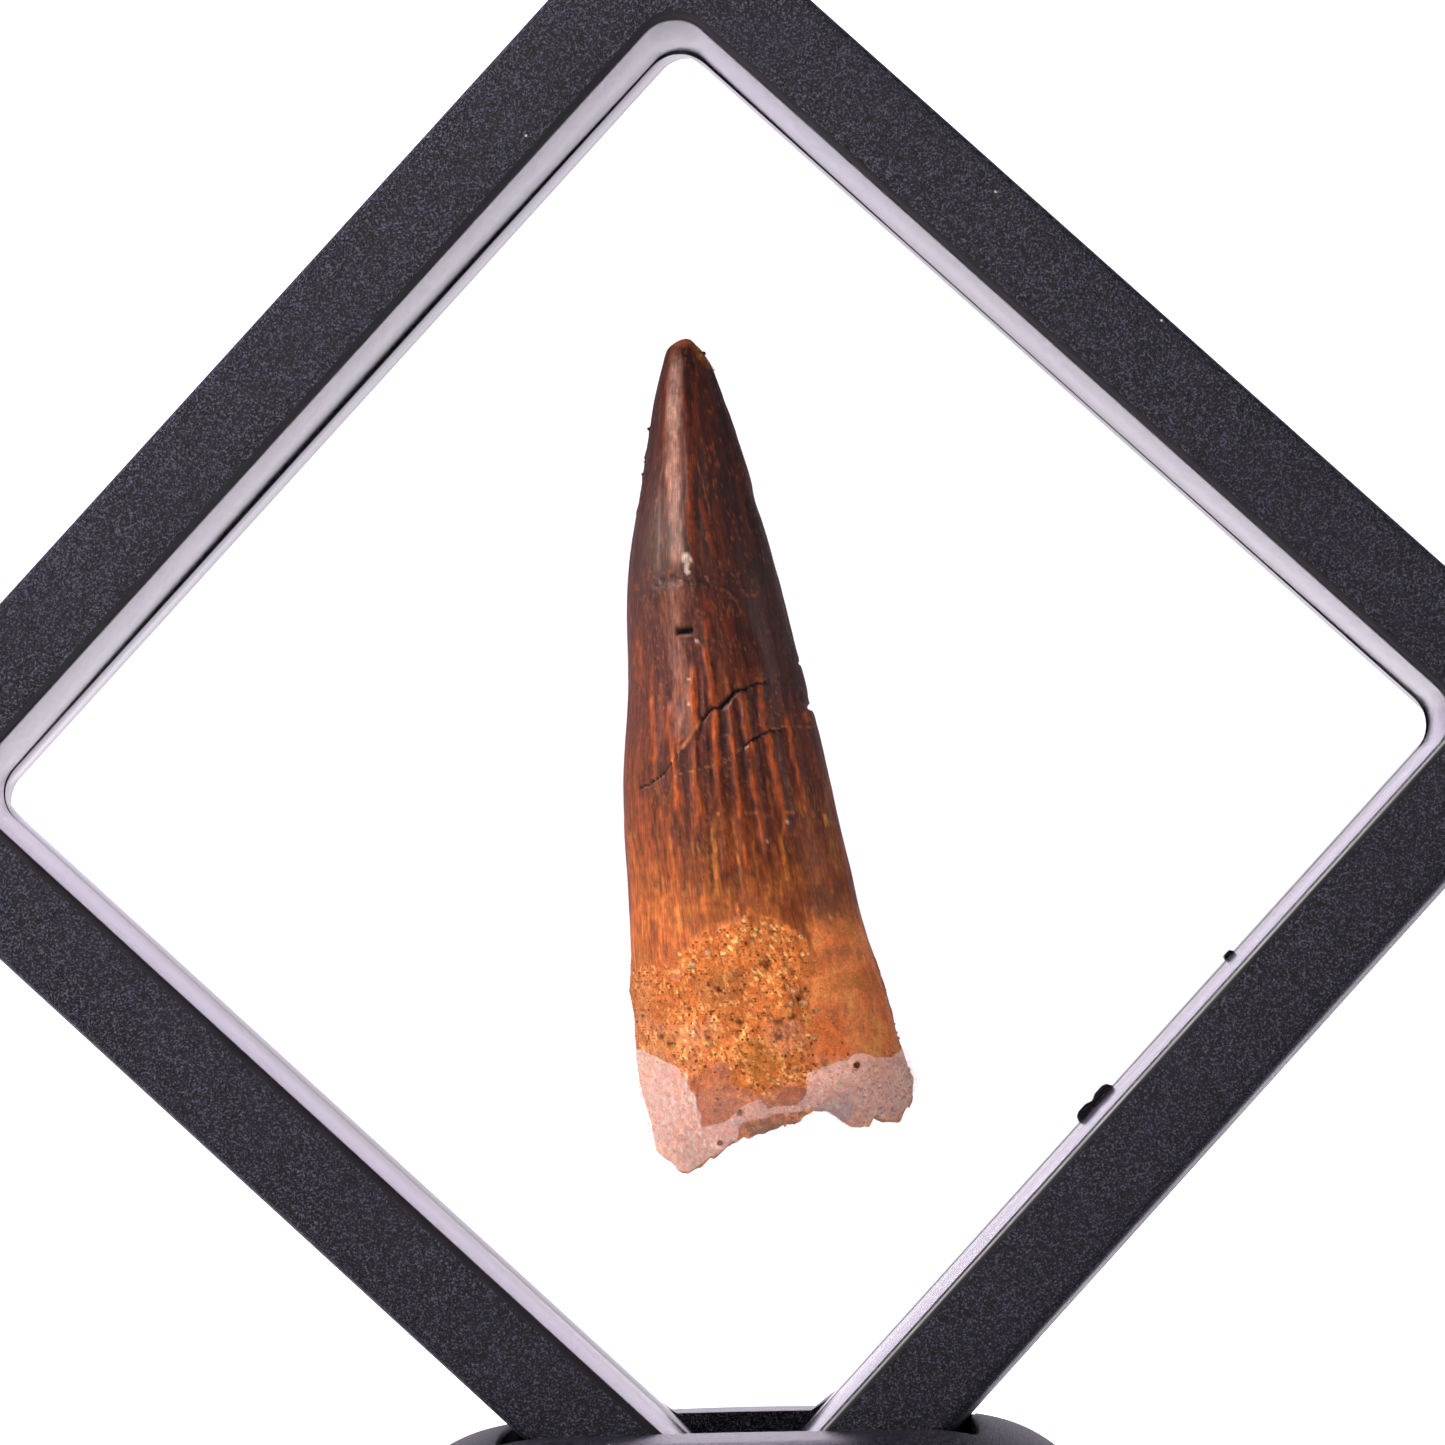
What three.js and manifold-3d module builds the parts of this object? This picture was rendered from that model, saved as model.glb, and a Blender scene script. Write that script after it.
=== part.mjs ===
// A fossil spinosaurus tooth held between two clear elastic films, inside a thin black
// square frame that stands on one corner in the slot of a round black stand.
// Units are millimetres. +Z is up, +X is to the viewer's right and the front faces -Y.
// The origin is on the surface that the stand rests on, right under the middle of the frame.

import * as THREE from 'three';
import { mergeVertices } from 'three/addons/utils/BufferGeometryUtils.js';
import Module from 'manifold-3d';

const wasm = await Module();
wasm.setup();

// Frame: two mirrored halves that close on each other at y = 0
const OUTER_HALF = 45; // half of the 90 mm side, at the parting line
const HALF_DEPTH = 9.5; // depth of each half
const OUTER_DRAFT = THREE.MathUtils.degToRad(4.9);
const PARTING_OPENING = 36.93; // half of the opening's side, at the parting line
const FRONT_DRAFT = THREE.MathUtils.degToRad(3.1); // the opening widens towards each face
const BACK_DRAFT = THREE.MathUtils.degToRad(5.4);
const OUTER_CORNER = 6; // radius of the outside corners at the parting line
const FRONT_CORNERS = [2.8, 2.6]; // radius of the opening's corners at the face, parting line
const BACK_CORNERS = [2.5, 2.8]; // the same for the back half
const EDGE_ROUND = 0.6; // rounding of the outside edge of the face
const INNER_BEVEL = 0.3; // bevel on the inside edge of the face
const GAP = 0.3; // play between pieces that touch
const BACK_SHIFT = [-0.04, -0.07]; // the back half's opening sits this far off the front one's
const BACK_FACE_SHIFT = [0.03, -0.42]; // and its wall leans this far by the time it is at the face
const BACK_TIGHTER = 0.08; // the back half's opening is this much smaller at the parting line
// How far each side of the front opening is bowed outward at the parting line, in the order
// right, top, left, bottom before the frame is stood on its corner
const FRONT_BOW = [-0.12, 0.25, 0, 0];

// Film: the rim of each film lies in a rebate behind its half
const FILM_THICK = 0.3;
const FILM_HALF = 39.9;
const REBATE_HALF = FILM_HALF + 0.5;
const FILM_FREE = 36.5; // half side of the part of the film that can stretch
const FILM_CELLS = 20; // cells across the free part

// Moulded tab and nub on the inside of the back half's lower right side
const TAB_WIDTH = 3.5;
const TAB_PROUD = 0.65;
const NUB_WIDTH = 0.85;
const NUB_PROUD = 0.3;
const TAB_ALONG = 0; // middle of the side
const NUB_ALONG = 14.3; // towards the right corner
const TAB_DEPTH = 1.2;

// Stand
const STAND_RADIUS = 28.5;
const STAND_HEIGHT = 18;
const STAND_FOOT = 0.7; // chamfer round the foot
const TOP_RADIUS = 16.8; // the top is almost flat out to here, then rounds over into the side
const SLOT_HALF_WIDTH = HALF_DEPTH + 0.35;
const SLOT_FLOOR = 2;
const CROWN = 0.2; // how far the top has fallen at TOP_RADIUS
const GRIP_HALF = 16.13; // the frame's two lower sides touch the slot's ends this far out
const SLOT_HALF_LENGTH = GRIP_HALF + GAP * Math.SQRT2;
const LEAN = THREE.MathUtils.degToRad(1.43); // the frame leans to the left in its slot

// A right angle that slides in the slot keeps its corner on the circle over the slot
const cornerToCentre = OUTER_HALF * Math.SQRT2;
const STAND_X = cornerToCentre * Math.sin(LEAN) - GRIP_HALF * Math.sin(2 * LEAN);
const CENTRE_Z = STAND_HEIGHT - CROWN - GRIP_HALF * Math.cos(2 * LEAN)
  + cornerToCentre * Math.cos(LEAN);

// Tooth outline seen from the front: height and x of each edge from the middle of the frame
const TIP = [30.4, -1.25];
const LEFT_EDGE = [
  [30.4, -1.25], [29.5, -2.6], [26, -3.6], [20, -4.6], [13, -5.8], [5, -5.95],
  [-2, -6.45], [-12, -6.2], [-20, -6.1], [-26, -5.45],
];
const RIGHT_EDGE = [
  [30.4, -1.25], [29.5, -0.05], [26, 1.3], [20, 3.25], [13, 5.0], [5, 6.8],
  [3.9, 6.95], [2.6, 7.45], [-4, 8.85], [-12, 10.5], [-17, 12.05], [-20.5, 12.9],
  [-24.5, 14.05], [-26, 14.1],
];
// Broken lower rim: x and height
const BROKEN_RIM = [
  [-6.1, -23.5], [-5.2, -27.2], [-4.2, -28.8], [-2.7, -29.55], [-0.9, -28.3], [1.2, -27.2],
  [4.5, -26.15], [6.4, -25.4], [9.3, -26.6], [11, -25.6], [12.3, -26], [13.5, -25.15],
  [14.1, -23.6],
];
const RIM_START = -22; // below this height the rows of the mesh bend to meet the broken rim
const BACK_RIM_RISE = 1.2; // the back of the rim is broken off a little higher
const THICKNESS_AT_TIP = 0.86; // thickness over width
const THICKNESS_AT_BASE = 0.72;
const SECTION_POWER = 2.15; // 2 is an ellipse, more is squarer
const BEND = 0.9; // how far the tip is bent towards the back
const FLUTES = 22;
const FLUTE_DEPTH = 0.2;
const MATRIX_TOP = -12; // the sandy matrix covers the enamel below this height
const MATRIX_PROUD = 0.25;
const BREAK_HOLLOW = 2.2; // depth of the hollow in the broken end
const AROUND = FLUTES * 2;
const ROWS = 27;
const RIM_ROWS = 3;

const plastic = (roughness) => new THREE.MeshStandardMaterial({
  color: new THREE.Color(0.035, 0.033, 0.04), roughness, metalness: 0,
});
const clearFilm = () => new THREE.MeshStandardMaterial({
  color: new THREE.Color(0.95, 0.95, 0.97), roughness: 0.08, metalness: 0,
  transparent: true, opacity: 0.25, side: THREE.DoubleSide,
});
const fossil = new THREE.MeshStandardMaterial({
  color: new THREE.Color(0.22, 0.07, 0.03), roughness: 0.35, metalness: 0,
});

// Small tools for shapes

// Value at t on a smooth curve through [position, value] pairs, in falling or rising order
function onCurve(points, t) {
  const rising = points[1][0] > points[0][0];
  let i = 1;
  while (i < points.length - 1 && (rising ? t > points[i][0] : t < points[i][0])) i += 1;
  const [t0, v0] = points[i - 1];
  const [t1, v1] = points[i];
  const slope = (a, b) => (points[b][1] - points[a][1]) / (points[b][0] - points[a][0]);
  const m0 = slope(Math.max(i - 2, 0), i);
  const m1 = slope(i - 1, Math.min(i + 1, points.length - 1));
  const s = THREE.MathUtils.clamp((t - t0) / (t1 - t0), 0, 1);
  const h = t1 - t0;
  return v0 * (2 * s ** 3 - 3 * s ** 2 + 1) + m0 * h * (s ** 3 - 2 * s ** 2 + s)
    + v1 * (3 * s ** 2 - 2 * s ** 3) + m1 * h * (s ** 3 - s ** 2);
}

function meshGeometry(points, triangles) {
  const geometry = new THREE.BufferGeometry();
  geometry.setAttribute('position', new THREE.Float32BufferAttribute(points.flat(), 3));
  geometry.setIndex(triangles.flat());
  return geometry;
}

function toManifold(geometry) {
  const bare = geometry.clone();
  bare.deleteAttribute('normal');
  bare.deleteAttribute('uv');
  const merged = mergeVertices(bare, 1e-4);
  return new wasm.Manifold(new wasm.Mesh({
    numProp: 3,
    vertProperties: new Float32Array(merged.attributes.position.array),
    triVerts: new Uint32Array(merged.index.array),
  }));
}

function fromManifold(solid) {
  const mesh = solid.getMesh();
  const geometry = new THREE.BufferGeometry();
  geometry.setAttribute('position', new THREE.BufferAttribute(mesh.vertProperties, 3));
  geometry.setIndex(new THREE.BufferAttribute(mesh.triVerts, 1));
  return geometry;
}

function named(name, geometry, material) {
  geometry.computeVertexNormals();
  const mesh = new THREE.Mesh(geometry, material);
  mesh.name = name;
  return mesh;
}

// Frame halves

const FLAT = [0, 0, 0, 0];

// One closed loop of points round a square with round corners, at depth y. Each side can be
// bowed outward by bow[side], and the whole loop moved sideways by shift.
function squareLoop(half, radius, y, bow = FLAT, shift = [0, 0]) {
  const cornerSteps = 5;
  const sideSteps = 4;
  const points = [];
  for (let side = 0; side < 4; side += 1) {
    const turn = side * Math.PI / 2;
    const place = (out, along) => points.push([
      out * Math.cos(turn) - along * Math.sin(turn) + shift[0],
      y,
      out * Math.sin(turn) + along * Math.cos(turn) + shift[1],
    ]);
    const straight = half - radius;
    for (let i = 0; i < sideSteps; i += 1) {
      const t = -1 + 2 * i / sideSteps;
      place(half + bow[side] * (1 - t * t), t * straight);
    }
    for (let i = 0; i < cornerSteps; i += 1) {
      const angle = i / cornerSteps * Math.PI / 2;
      place(straight + radius * Math.cos(angle), straight + radius * Math.sin(angle));
    }
  }
  return points;
}

// A closed ring whose cross-section runs through the loops, the last one back to the first
function ringSolid(loops) {
  const count = loops[0].length;
  const triangles = [];
  loops.forEach((loop, k) => {
    const here = k * count;
    const next = ((k + 1) % loops.length) * count;
    for (let i = 0; i < count; i += 1) {
      const j = (i + 1) % count;
      triangles.push([here + i, here + j, next + j], [here + i, next + j, next + i]);
    }
  });
  return meshGeometry(loops.flat(), triangles);
}

// side is -1 for the front half and +1 for the back half
function frameHalf(side) {
  const face = side * HALF_DEPTH;
  const parting = side * GAP / 2;
  const rebate = side * (GAP / 2 + FILM_THICK + GAP);
  const outerFace = OUTER_HALF - HALF_DEPTH * Math.tan(OUTER_DRAFT);
  const faceOpening = PARTING_OPENING + HALF_DEPTH * Math.tan(side < 0 ? FRONT_DRAFT : BACK_DRAFT);
  const faceShift = side < 0 ? [0, 0] : BACK_FACE_SHIFT;
  const [faceCorner, partingCorner] = side < 0 ? FRONT_CORNERS : BACK_CORNERS;
  const corner = OUTER_CORNER - (OUTER_HALF - outerFace);
  const soft = EDGE_ROUND * (1 - Math.SQRT1_2);
  const loops = [
    squareLoop(OUTER_HALF, OUTER_CORNER, parting),
    squareLoop(outerFace + EDGE_ROUND * Math.tan(OUTER_DRAFT), corner, face - side * EDGE_ROUND),
    squareLoop(outerFace - soft, corner - soft, face - side * soft),
    squareLoop(outerFace - EDGE_ROUND, corner - EDGE_ROUND, face),
    squareLoop(faceOpening + INNER_BEVEL, faceCorner + INNER_BEVEL, face, FLAT, faceShift),
    squareLoop(faceOpening, faceCorner, face - side * INNER_BEVEL, FLAT, faceShift),
    side < 0
      ? squareLoop(PARTING_OPENING, partingCorner, rebate, FRONT_BOW)
      : squareLoop(PARTING_OPENING - BACK_TIGHTER, partingCorner, rebate, FLAT, BACK_SHIFT),
    squareLoop(REBATE_HALF, 0.8, rebate),
    squareLoop(REBATE_HALF, 0.8, parting),
  ];
  return ringSolid(side < 0 ? loops : loops.reverse());
}

// A low bump with round lobes, standing out of the inside of the back half's lower right
// side, which is the bottom side before the frame is stood on its corner
function mouldedBump(along, width, proud, lobes) {
  const root = -0.6; // sunk into the wall, so that the bump is one solid with it
  const lobe = width / lobes;
  const shape = new THREE.Shape();
  shape.moveTo(-width / 2, root);
  shape.lineTo(-width / 2, proud * 0.6);
  for (let i = 0; i < lobes; i += 1) {
    const start = -width / 2 + i * lobe;
    shape.quadraticCurveTo(start + lobe * 0.1, proud, start + lobe / 2, proud);
    shape.quadraticCurveTo(start + lobe * 0.9, proud, start + lobe, proud * 0.6);
  }
  shape.lineTo(width / 2, root);
  shape.closePath();
  const geometry = new THREE.ExtrudeGeometry(shape, {
    depth: TAB_DEPTH, bevelEnabled: false, curveSegments: 3,
  });
  const back = GAP / 2 + FILM_THICK + 2 * GAP;
  geometry.rotateX(Math.PI / 2); // the outline now stands in X and Z, and is TAB_DEPTH deep
  geometry.translate(along, back + TAB_DEPTH, BACK_SHIFT[1] - PARTING_OPENING);
  return geometry;
}

function backFrame() {
  let solid = toManifold(frameHalf(1));
  solid = solid.add(toManifold(mouldedBump(TAB_ALONG, TAB_WIDTH, TAB_PROUD, 2)));
  solid = solid.add(toManifold(mouldedBump(NUB_ALONG, NUB_WIDTH, NUB_PROUD, 1)));
  return fromManifold(solid);
}

// Stand

function standSolid() {
  const profile = [new THREE.Vector2(0, 0)];
  profile.push(new THREE.Vector2(STAND_RADIUS - STAND_FOOT, 0));
  profile.push(new THREE.Vector2(STAND_RADIUS, STAND_FOOT));
  const steps = 10;
  const shoulderTop = STAND_HEIGHT - CROWN;
  for (let i = 0; i <= steps; i += 1) {
    const angle = (1 - i / steps) * Math.PI / 2;
    profile.push(new THREE.Vector2(
      TOP_RADIUS + (STAND_RADIUS - TOP_RADIUS) * Math.sin(angle),
      shoulderTop - (shoulderTop - STAND_FOOT) * (1 - Math.cos(angle)),
    ));
  }
  profile.push(new THREE.Vector2(TOP_RADIUS / 2, STAND_HEIGHT - CROWN / 4));
  profile.push(new THREE.Vector2(0, STAND_HEIGHT));
  const dome = new THREE.LatheGeometry(profile, 48);
  dome.rotateX(Math.PI / 2); // the axis of the dome now runs along Z
  const cut = new THREE.BoxGeometry(
    2 * SLOT_HALF_LENGTH, 2 * SLOT_HALF_WIDTH, STAND_HEIGHT,
  );
  cut.translate(0, 0, SLOT_FLOOR + STAND_HEIGHT / 2);
  return fromManifold(toManifold(dome).subtract(toManifold(cut)));
}

// Tooth

const smooth = (from, to, t) => THREE.MathUtils.smoothstep(t, from, to);

// Middle, half width, half thickness and bend of the tooth at height z
function toothSection(z) {
  const left = onCurve(LEFT_EDGE, z);
  const right = onCurve(RIGHT_EDGE, z);
  const down = (TIP[0] - z) / (TIP[0] - RIM_START); // 0 at the tip, 1 near the base
  const halfWidth = (right - left) / 2;
  return {
    x: (left + right) / 2,
    halfWidth,
    halfThick: halfWidth * THREE.MathUtils.lerp(THICKNESS_AT_TIP, THICKNESS_AT_BASE, down),
    y: BEND * (1 - Math.min(down, 1)) ** 2,
  };
}

// Height of the broken rim at x, where back is 0 on the front and 1 on the back
function rimHeight(x, back) {
  return onCurve(BROKEN_RIM, x) + BACK_RIM_RISE * back + 0.25 * Math.sin(2.3 * x) * back;
}

function toothPoint(z, angle) {
  const section = toothSection(z);
  const round = (v) => Math.sign(v) * Math.abs(v) ** (2 / SECTION_POWER);
  const enamel = smooth(TIP[0], 20, z) * (1 - smooth(MATRIX_TOP + 3, MATRIX_TOP - 2, z));
  const matrix = smooth(MATRIX_TOP + 1, MATRIX_TOP - 4, z);
  const flute = FLUTE_DEPTH * enamel * Math.cos(FLUTES * angle);
  const lump = MATRIX_PROUD * matrix
    * (0.5 + Math.sin(3.1 * angle + 1.3 * z) * Math.cos(2 * angle - 0.9 * z));
  const grow = 1 + (flute + lump - FLUTE_DEPTH) / Math.max(section.halfThick, 1);
  return [
    section.x + section.halfWidth * round(Math.cos(angle)) * (1 + (grow - 1) * 0.5),
    section.y + section.halfThick * round(Math.sin(angle)) * grow,
    z,
  ];
}

function toothSolid() {
  const rows = [];
  const angles = Array.from({ length: AROUND }, (_, i) => i / AROUND * 2 * Math.PI);
  for (let k = 1; k <= ROWS; k += 1) {
    const z = TIP[0] - (TIP[0] - RIM_START) * (k / ROWS) ** 1.2;
    rows.push(angles.map((angle) => toothPoint(z, angle)));
  }
  const rim = (angle) => {
    const [x] = toothPoint(RIM_START - 2, angle);
    return rimHeight(x, smooth(-0.5, 0.5, Math.sin(angle)));
  };
  for (let k = 1; k <= RIM_ROWS; k += 1) {
    const t = k / RIM_ROWS;
    rows.push(angles.map((angle) => {
      const z = THREE.MathUtils.lerp(RIM_START, rim(angle), t);
      const [x, y] = toothPoint(Math.max(z, -26), angle);
      return [x, y * (1 - 0.12 * t * t), z];
    }));
  }
  // the broken end runs inward from the rim into a shallow uneven hollow
  const edge = rows[rows.length - 1];
  const middle = edge.reduce((sum, p) => sum.map((v, i) => v + p[i] / edge.length), [0, 0, 0]);
  for (const inward of [0.72, 0.4]) {
    rows.push(edge.map((p, i) => [
      THREE.MathUtils.lerp(middle[0], p[0], inward),
      THREE.MathUtils.lerp(middle[1], p[1], inward),
      THREE.MathUtils.lerp(middle[2], p[2], inward)
        + BREAK_HOLLOW * (1 - inward) * (1 + 0.3 * Math.sin(1.9 * i)),
    ]));
  }
  const points = [[TIP[1], toothSection(TIP[0]).y, TIP[0]], ...rows.flat(),
    [middle[0], middle[1], middle[2] + BREAK_HOLLOW]];
  const triangles = [];
  const last = points.length - 1;
  for (let i = 0; i < AROUND; i += 1) {
    const j = (i + 1) % AROUND;
    triangles.push([0, 1 + i, 1 + j]);
    for (let k = 0; k < rows.length - 1; k += 1) {
      const here = 1 + k * AROUND;
      const next = here + AROUND;
      triangles.push([here + i, next + i, next + j], [here + i, next + j, here + j]);
    }
    const end = 1 + (rows.length - 1) * AROUND;
    triangles.push([end + i, last, end + j]);
  }
  return meshGeometry(points, triangles);
}

// How far the tooth stands out towards side (-1 front, +1 back) at a point seen from the front
function toothReach(side, x, z) {
  if (z > TIP[0] || z < rimHeight(x, 0) - 0.3) return 0;
  const section = toothSection(Math.max(z, -26));
  const across = Math.abs(x - section.x) / (section.halfWidth + 0.1);
  if (across >= 1) return 0;
  const proud = section.halfThick + MATRIX_PROUD * smooth(MATRIX_TOP + 1, MATRIX_TOP - 4, z);
  const reach = proud * (1 - across ** SECTION_POWER) ** (1 / SECTION_POWER);
  return reach + side * section.y;
}

// Film: a stretched sheet held flat round its edge and lifted by the tooth

function filmSolid(side) {
  const lines = [-FILM_HALF];
  for (let i = 0; i <= FILM_CELLS; i += 1) {
    const t = -1 + 2 * i / FILM_CELLS;
    lines.push(FILM_FREE * (0.75 * t + 0.25 * t ** 3)); // closer lines near the middle
  }
  lines.push(FILM_HALF);
  const count = lines.length;
  const tilt = Math.PI / 4 + LEAN;
  // the highest that the tooth reaches within one cell of each crossing
  const least = lines.map((u, i) => lines.map((v, j) => {
    if (i < 2 || j < 2 || i > count - 3 || j > count - 3) return 0;
    let most = 0;
    for (let a = -4; a <= 4; a += 1) {
      for (let b = -4; b <= 4; b += 1) {
        const pu = u + (lines[i + Math.sign(a)] - u) * Math.abs(a) / 4;
        const pv = v + (lines[j + Math.sign(b)] - v) * Math.abs(b) / 4;
        const x = pu * Math.cos(tilt) - pv * Math.sin(tilt);
        const z = pu * Math.sin(tilt) + pv * Math.cos(tilt);
        most = Math.max(most, toothReach(side, x, z));
      }
    }
    return most > 0 ? most + GAP / 2 : 0;
  }));
  const lift = least.map((row) => [...row]);
  for (let pass = 0; pass < 600; pass += 1) {
    for (let i = 2; i < count - 2; i += 1) {
      for (let j = 2; j < count - 2; j += 1) {
        const [w, e] = [lines[i] - lines[i - 1], lines[i + 1] - lines[i]];
        const [s, n] = [lines[j] - lines[j - 1], lines[j + 1] - lines[j]];
        const alongU = (lift[i - 1][j] / w + lift[i + 1][j] / e) / (w + e);
        const alongV = (lift[i][j - 1] / s + lift[i][j + 1] / n) / (s + n);
        const level = (alongU + alongV) / (1 / (w * e) + 1 / (s * n));
        lift[i][j] = Math.max(level, least[i][j]);
      }
    }
  }
  const points = [];
  for (const face of [0, FILM_THICK]) {
    lines.forEach((u, i) => lines.forEach((v, j) => {
      points.push([u, side * (GAP / 2 + lift[i][j] + face), v]);
    }));
  }
  const near = (i, j) => i * count + j;
  const far = (i, j) => count * count + near(i, j);
  const triangles = [];
  const quad = (a, b, c, d) => triangles.push([a, b, c], [a, c, d]);
  for (let i = 0; i < count - 1; i += 1) {
    for (let j = 0; j < count - 1; j += 1) {
      quad(near(i, j), near(i + 1, j), near(i + 1, j + 1), near(i, j + 1));
      quad(far(i, j), far(i, j + 1), far(i + 1, j + 1), far(i + 1, j));
    }
    const end = count - 1;
    quad(near(i, 0), far(i, 0), far(i + 1, 0), near(i + 1, 0));
    quad(near(i + 1, end), far(i + 1, end), far(i, end), near(i, end));
    quad(near(0, i + 1), far(0, i + 1), far(0, i), near(0, i));
    quad(near(end, i), far(end, i), far(end, i + 1), near(end, i + 1));
  }
  if (side < 0) triangles.forEach((t) => t.reverse());
  return meshGeometry(points, triangles);
}

// Assembly

const group = new THREE.Group();

const stand = named('stand', standSolid(), plastic(0.5));
stand.position.set(STAND_X, 0, 0);
group.add(stand);

const frame = new THREE.Group();
frame.position.set(0, 0, CENTRE_Z);
frame.rotation.y = -(Math.PI / 4 + LEAN);
frame.add(named('front_frame', frameHalf(-1), plastic(0.5)));
frame.add(named('back_frame', backFrame(), plastic(0.5)));
frame.add(named('front_film', filmSolid(-1), clearFilm()));
frame.add(named('back_film', filmSolid(1), clearFilm()));
group.add(frame);

const tooth = named('tooth', toothSolid(), fossil);
tooth.position.set(0, 0, CENTRE_Z);
group.add(tooth);

export default group;
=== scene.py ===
"""Dresses the framed fossil tooth: a black film frame on its stand with the tooth inside.

Lengths are in millimetres in the code and are turned into metres when a mesh is made.
The shapes repeat the measures of the solids in finer detail: rounded edges, the relief of the
enamel and of the sandy matrix, single grains, and thin films.
"""
import math
from itertools import product

import bpy
import numpy as np
from mathutils import Matrix


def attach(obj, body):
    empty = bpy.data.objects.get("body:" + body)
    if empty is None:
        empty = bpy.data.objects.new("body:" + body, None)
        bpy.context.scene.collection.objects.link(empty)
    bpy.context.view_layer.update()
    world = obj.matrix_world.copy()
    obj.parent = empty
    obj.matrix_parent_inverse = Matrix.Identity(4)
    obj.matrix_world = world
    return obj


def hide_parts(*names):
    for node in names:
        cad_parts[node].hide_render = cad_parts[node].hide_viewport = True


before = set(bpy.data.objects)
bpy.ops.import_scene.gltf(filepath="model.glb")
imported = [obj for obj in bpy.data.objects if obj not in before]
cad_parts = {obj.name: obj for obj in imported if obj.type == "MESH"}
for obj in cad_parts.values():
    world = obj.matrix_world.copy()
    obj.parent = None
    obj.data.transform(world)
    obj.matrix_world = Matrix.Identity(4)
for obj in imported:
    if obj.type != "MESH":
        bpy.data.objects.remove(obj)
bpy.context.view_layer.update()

MM = 0.001

# Frame and stand, as in the solids
OUTER_HALF = 45.0
HALF_DEPTH = 9.5
OUTER_DRAFT = math.radians(4.9)
PARTING_OPENING = 36.93
FRONT_DRAFT = math.radians(3.1)
BACK_DRAFT = math.radians(5.4)
OUTER_CORNER = 6.0
FRONT_CORNERS = (2.8, 2.6)
BACK_CORNERS = (2.5, 2.8)
GAP = 0.3
BACK_SHIFT = (-0.11, -0.02)
BACK_FACE_SHIFT = (0.03, -0.42)
FRONT_BOW = (-0.12, 0.14, 0.0, 0.0)
FILM_HALF = 39.9
FILM_THICK = 0.07
REBATE_HALF = FILM_HALF + 0.5
STAND_RADIUS = 28.5
STAND_HEIGHT = 18.0
STAND_FOOT = 0.7
TOP_RADIUS = 16.8
CROWN = 0.2
SLOT_HALF_WIDTH = HALF_DEPTH + 0.35
SLOT_FLOOR = 2.0
GRIP_HALF = 16.13
SLOT_HALF_LENGTH = GRIP_HALF + GAP * math.sqrt(2)
LEAN = math.radians(1.43)
CORNER_TO_CENTRE = OUTER_HALF * math.sqrt(2)
STAND_X = CORNER_TO_CENTRE * math.sin(LEAN) - GRIP_HALF * math.sin(2 * LEAN)
CENTRE_Z = (STAND_HEIGHT - CROWN - GRIP_HALF * math.cos(2 * LEAN)
            + CORNER_TO_CENTRE * math.cos(LEAN))
TILT = math.pi / 4 + LEAN


def pairs(*numbers):
    """Numbers written one after the other as a list of pairs."""
    return list(zip(numbers[::2], numbers[1::2]))


# Tooth outline: height and x of each edge from the middle of the frame
LEFT_EDGE = pairs(
    30.4, -1.25, 30.3, -1.7, 29.95, -2.25, 29.5, -2.6, 26, -3.6, 20, -4.6, 13, -5.8, 5, -5.95,
    -2, -6.45, -12, -6.2, -20, -6.1, -26, -5.45)
RIGHT_EDGE = pairs(
    30.4, -1.25, 30.3, -0.95, 29.95, -0.6, 29.5, -0.2, 28.3, 0.5, 26, 1.26, 23, 2.25, 20, 3.07,
    18.6, 3.3, 16.8, 3.85, 15, 4.4, 13, 4.9, 9, 5.75, 5, 6.7, 3.9, 6.85, 2.6, 7.3, -4, 8.65,
    -8, 9.5, -12, 10.35, -17, 11.85, -20.5, 12.75, -24.5, 14.0, -26, 14.1)
# x and height of the broken rim
BROKEN_RIM = pairs(
    -6.1, -23.3, -5.5, -24.6, -5.23, -26, -4.85, -27.8, -4.11, -28.5, -3.33, -29.2, -2.45, -29.56,
    -1.54, -28.9, -0.64, -28.3, 0.25, -27.65, 1.35, -27.23, 2.44, -26.83, 3.43, -26.58,
    4.19, -26.22, 5.28, -26.03, 6.15, -25.62, 6.7, -25.2, 7.3, -25.35, 7.88, -25.67, 8.51, -26.22,
    9.36, -26.63, 10.23, -26.39, 10.56, -25.97, 11.11, -25.61, 11.75, -26.06, 12.4, -26.09,
    12.85, -25.51, 13.4, -24.9, 14.1, -23.6)
TIP_Z = 30.4
RIM_START = -22.0
EDGES_END = -26.0
SECTION_POWER = 2.15
THICKNESS = (0.86, 0.72)  # of the half width, at the tip and at the rim
TIP_BEND = 0.9

# Glassy beads in the matrix that show through the milky film: x, z, radius
BEADS = [(9.74, -22.16, 0.26), (1.5, -25.3, 0.24), (0, -27.4, 0.2)]


# Numbers

def smooth(a, b, t):
    s = np.clip((t - a) / (b - a), 0, 1)
    return s * s * (3 - 2 * s)


def lerp(a, b, t):
    return a + (b - a) * t


def on_curve(points, t):
    """Value at t on a smooth curve through (position, value) pairs."""
    p = np.array(sorted(points), dtype=float)
    x, v = p[:, 0], p[:, 1]
    t = np.clip(t, x[0], x[-1])
    i = np.clip(np.searchsorted(x, t, side="right"), 1, len(x) - 1)
    a, b = np.maximum(i - 2, 0), np.minimum(i + 1, len(x) - 1)
    m0 = (v[i] - v[a]) / (x[i] - x[a])
    m1 = (v[b] - v[i - 1]) / (x[b] - x[i - 1])
    h = x[i] - x[i - 1]
    s = (t - x[i - 1]) / h
    return (v[i - 1] * (2 * s**3 - 3 * s**2 + 1) + m0 * h * (s**3 - 2 * s**2 + s)
            + v[i] * (3 * s**2 - 2 * s**3) + m1 * h * (s**3 - s**2))


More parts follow.
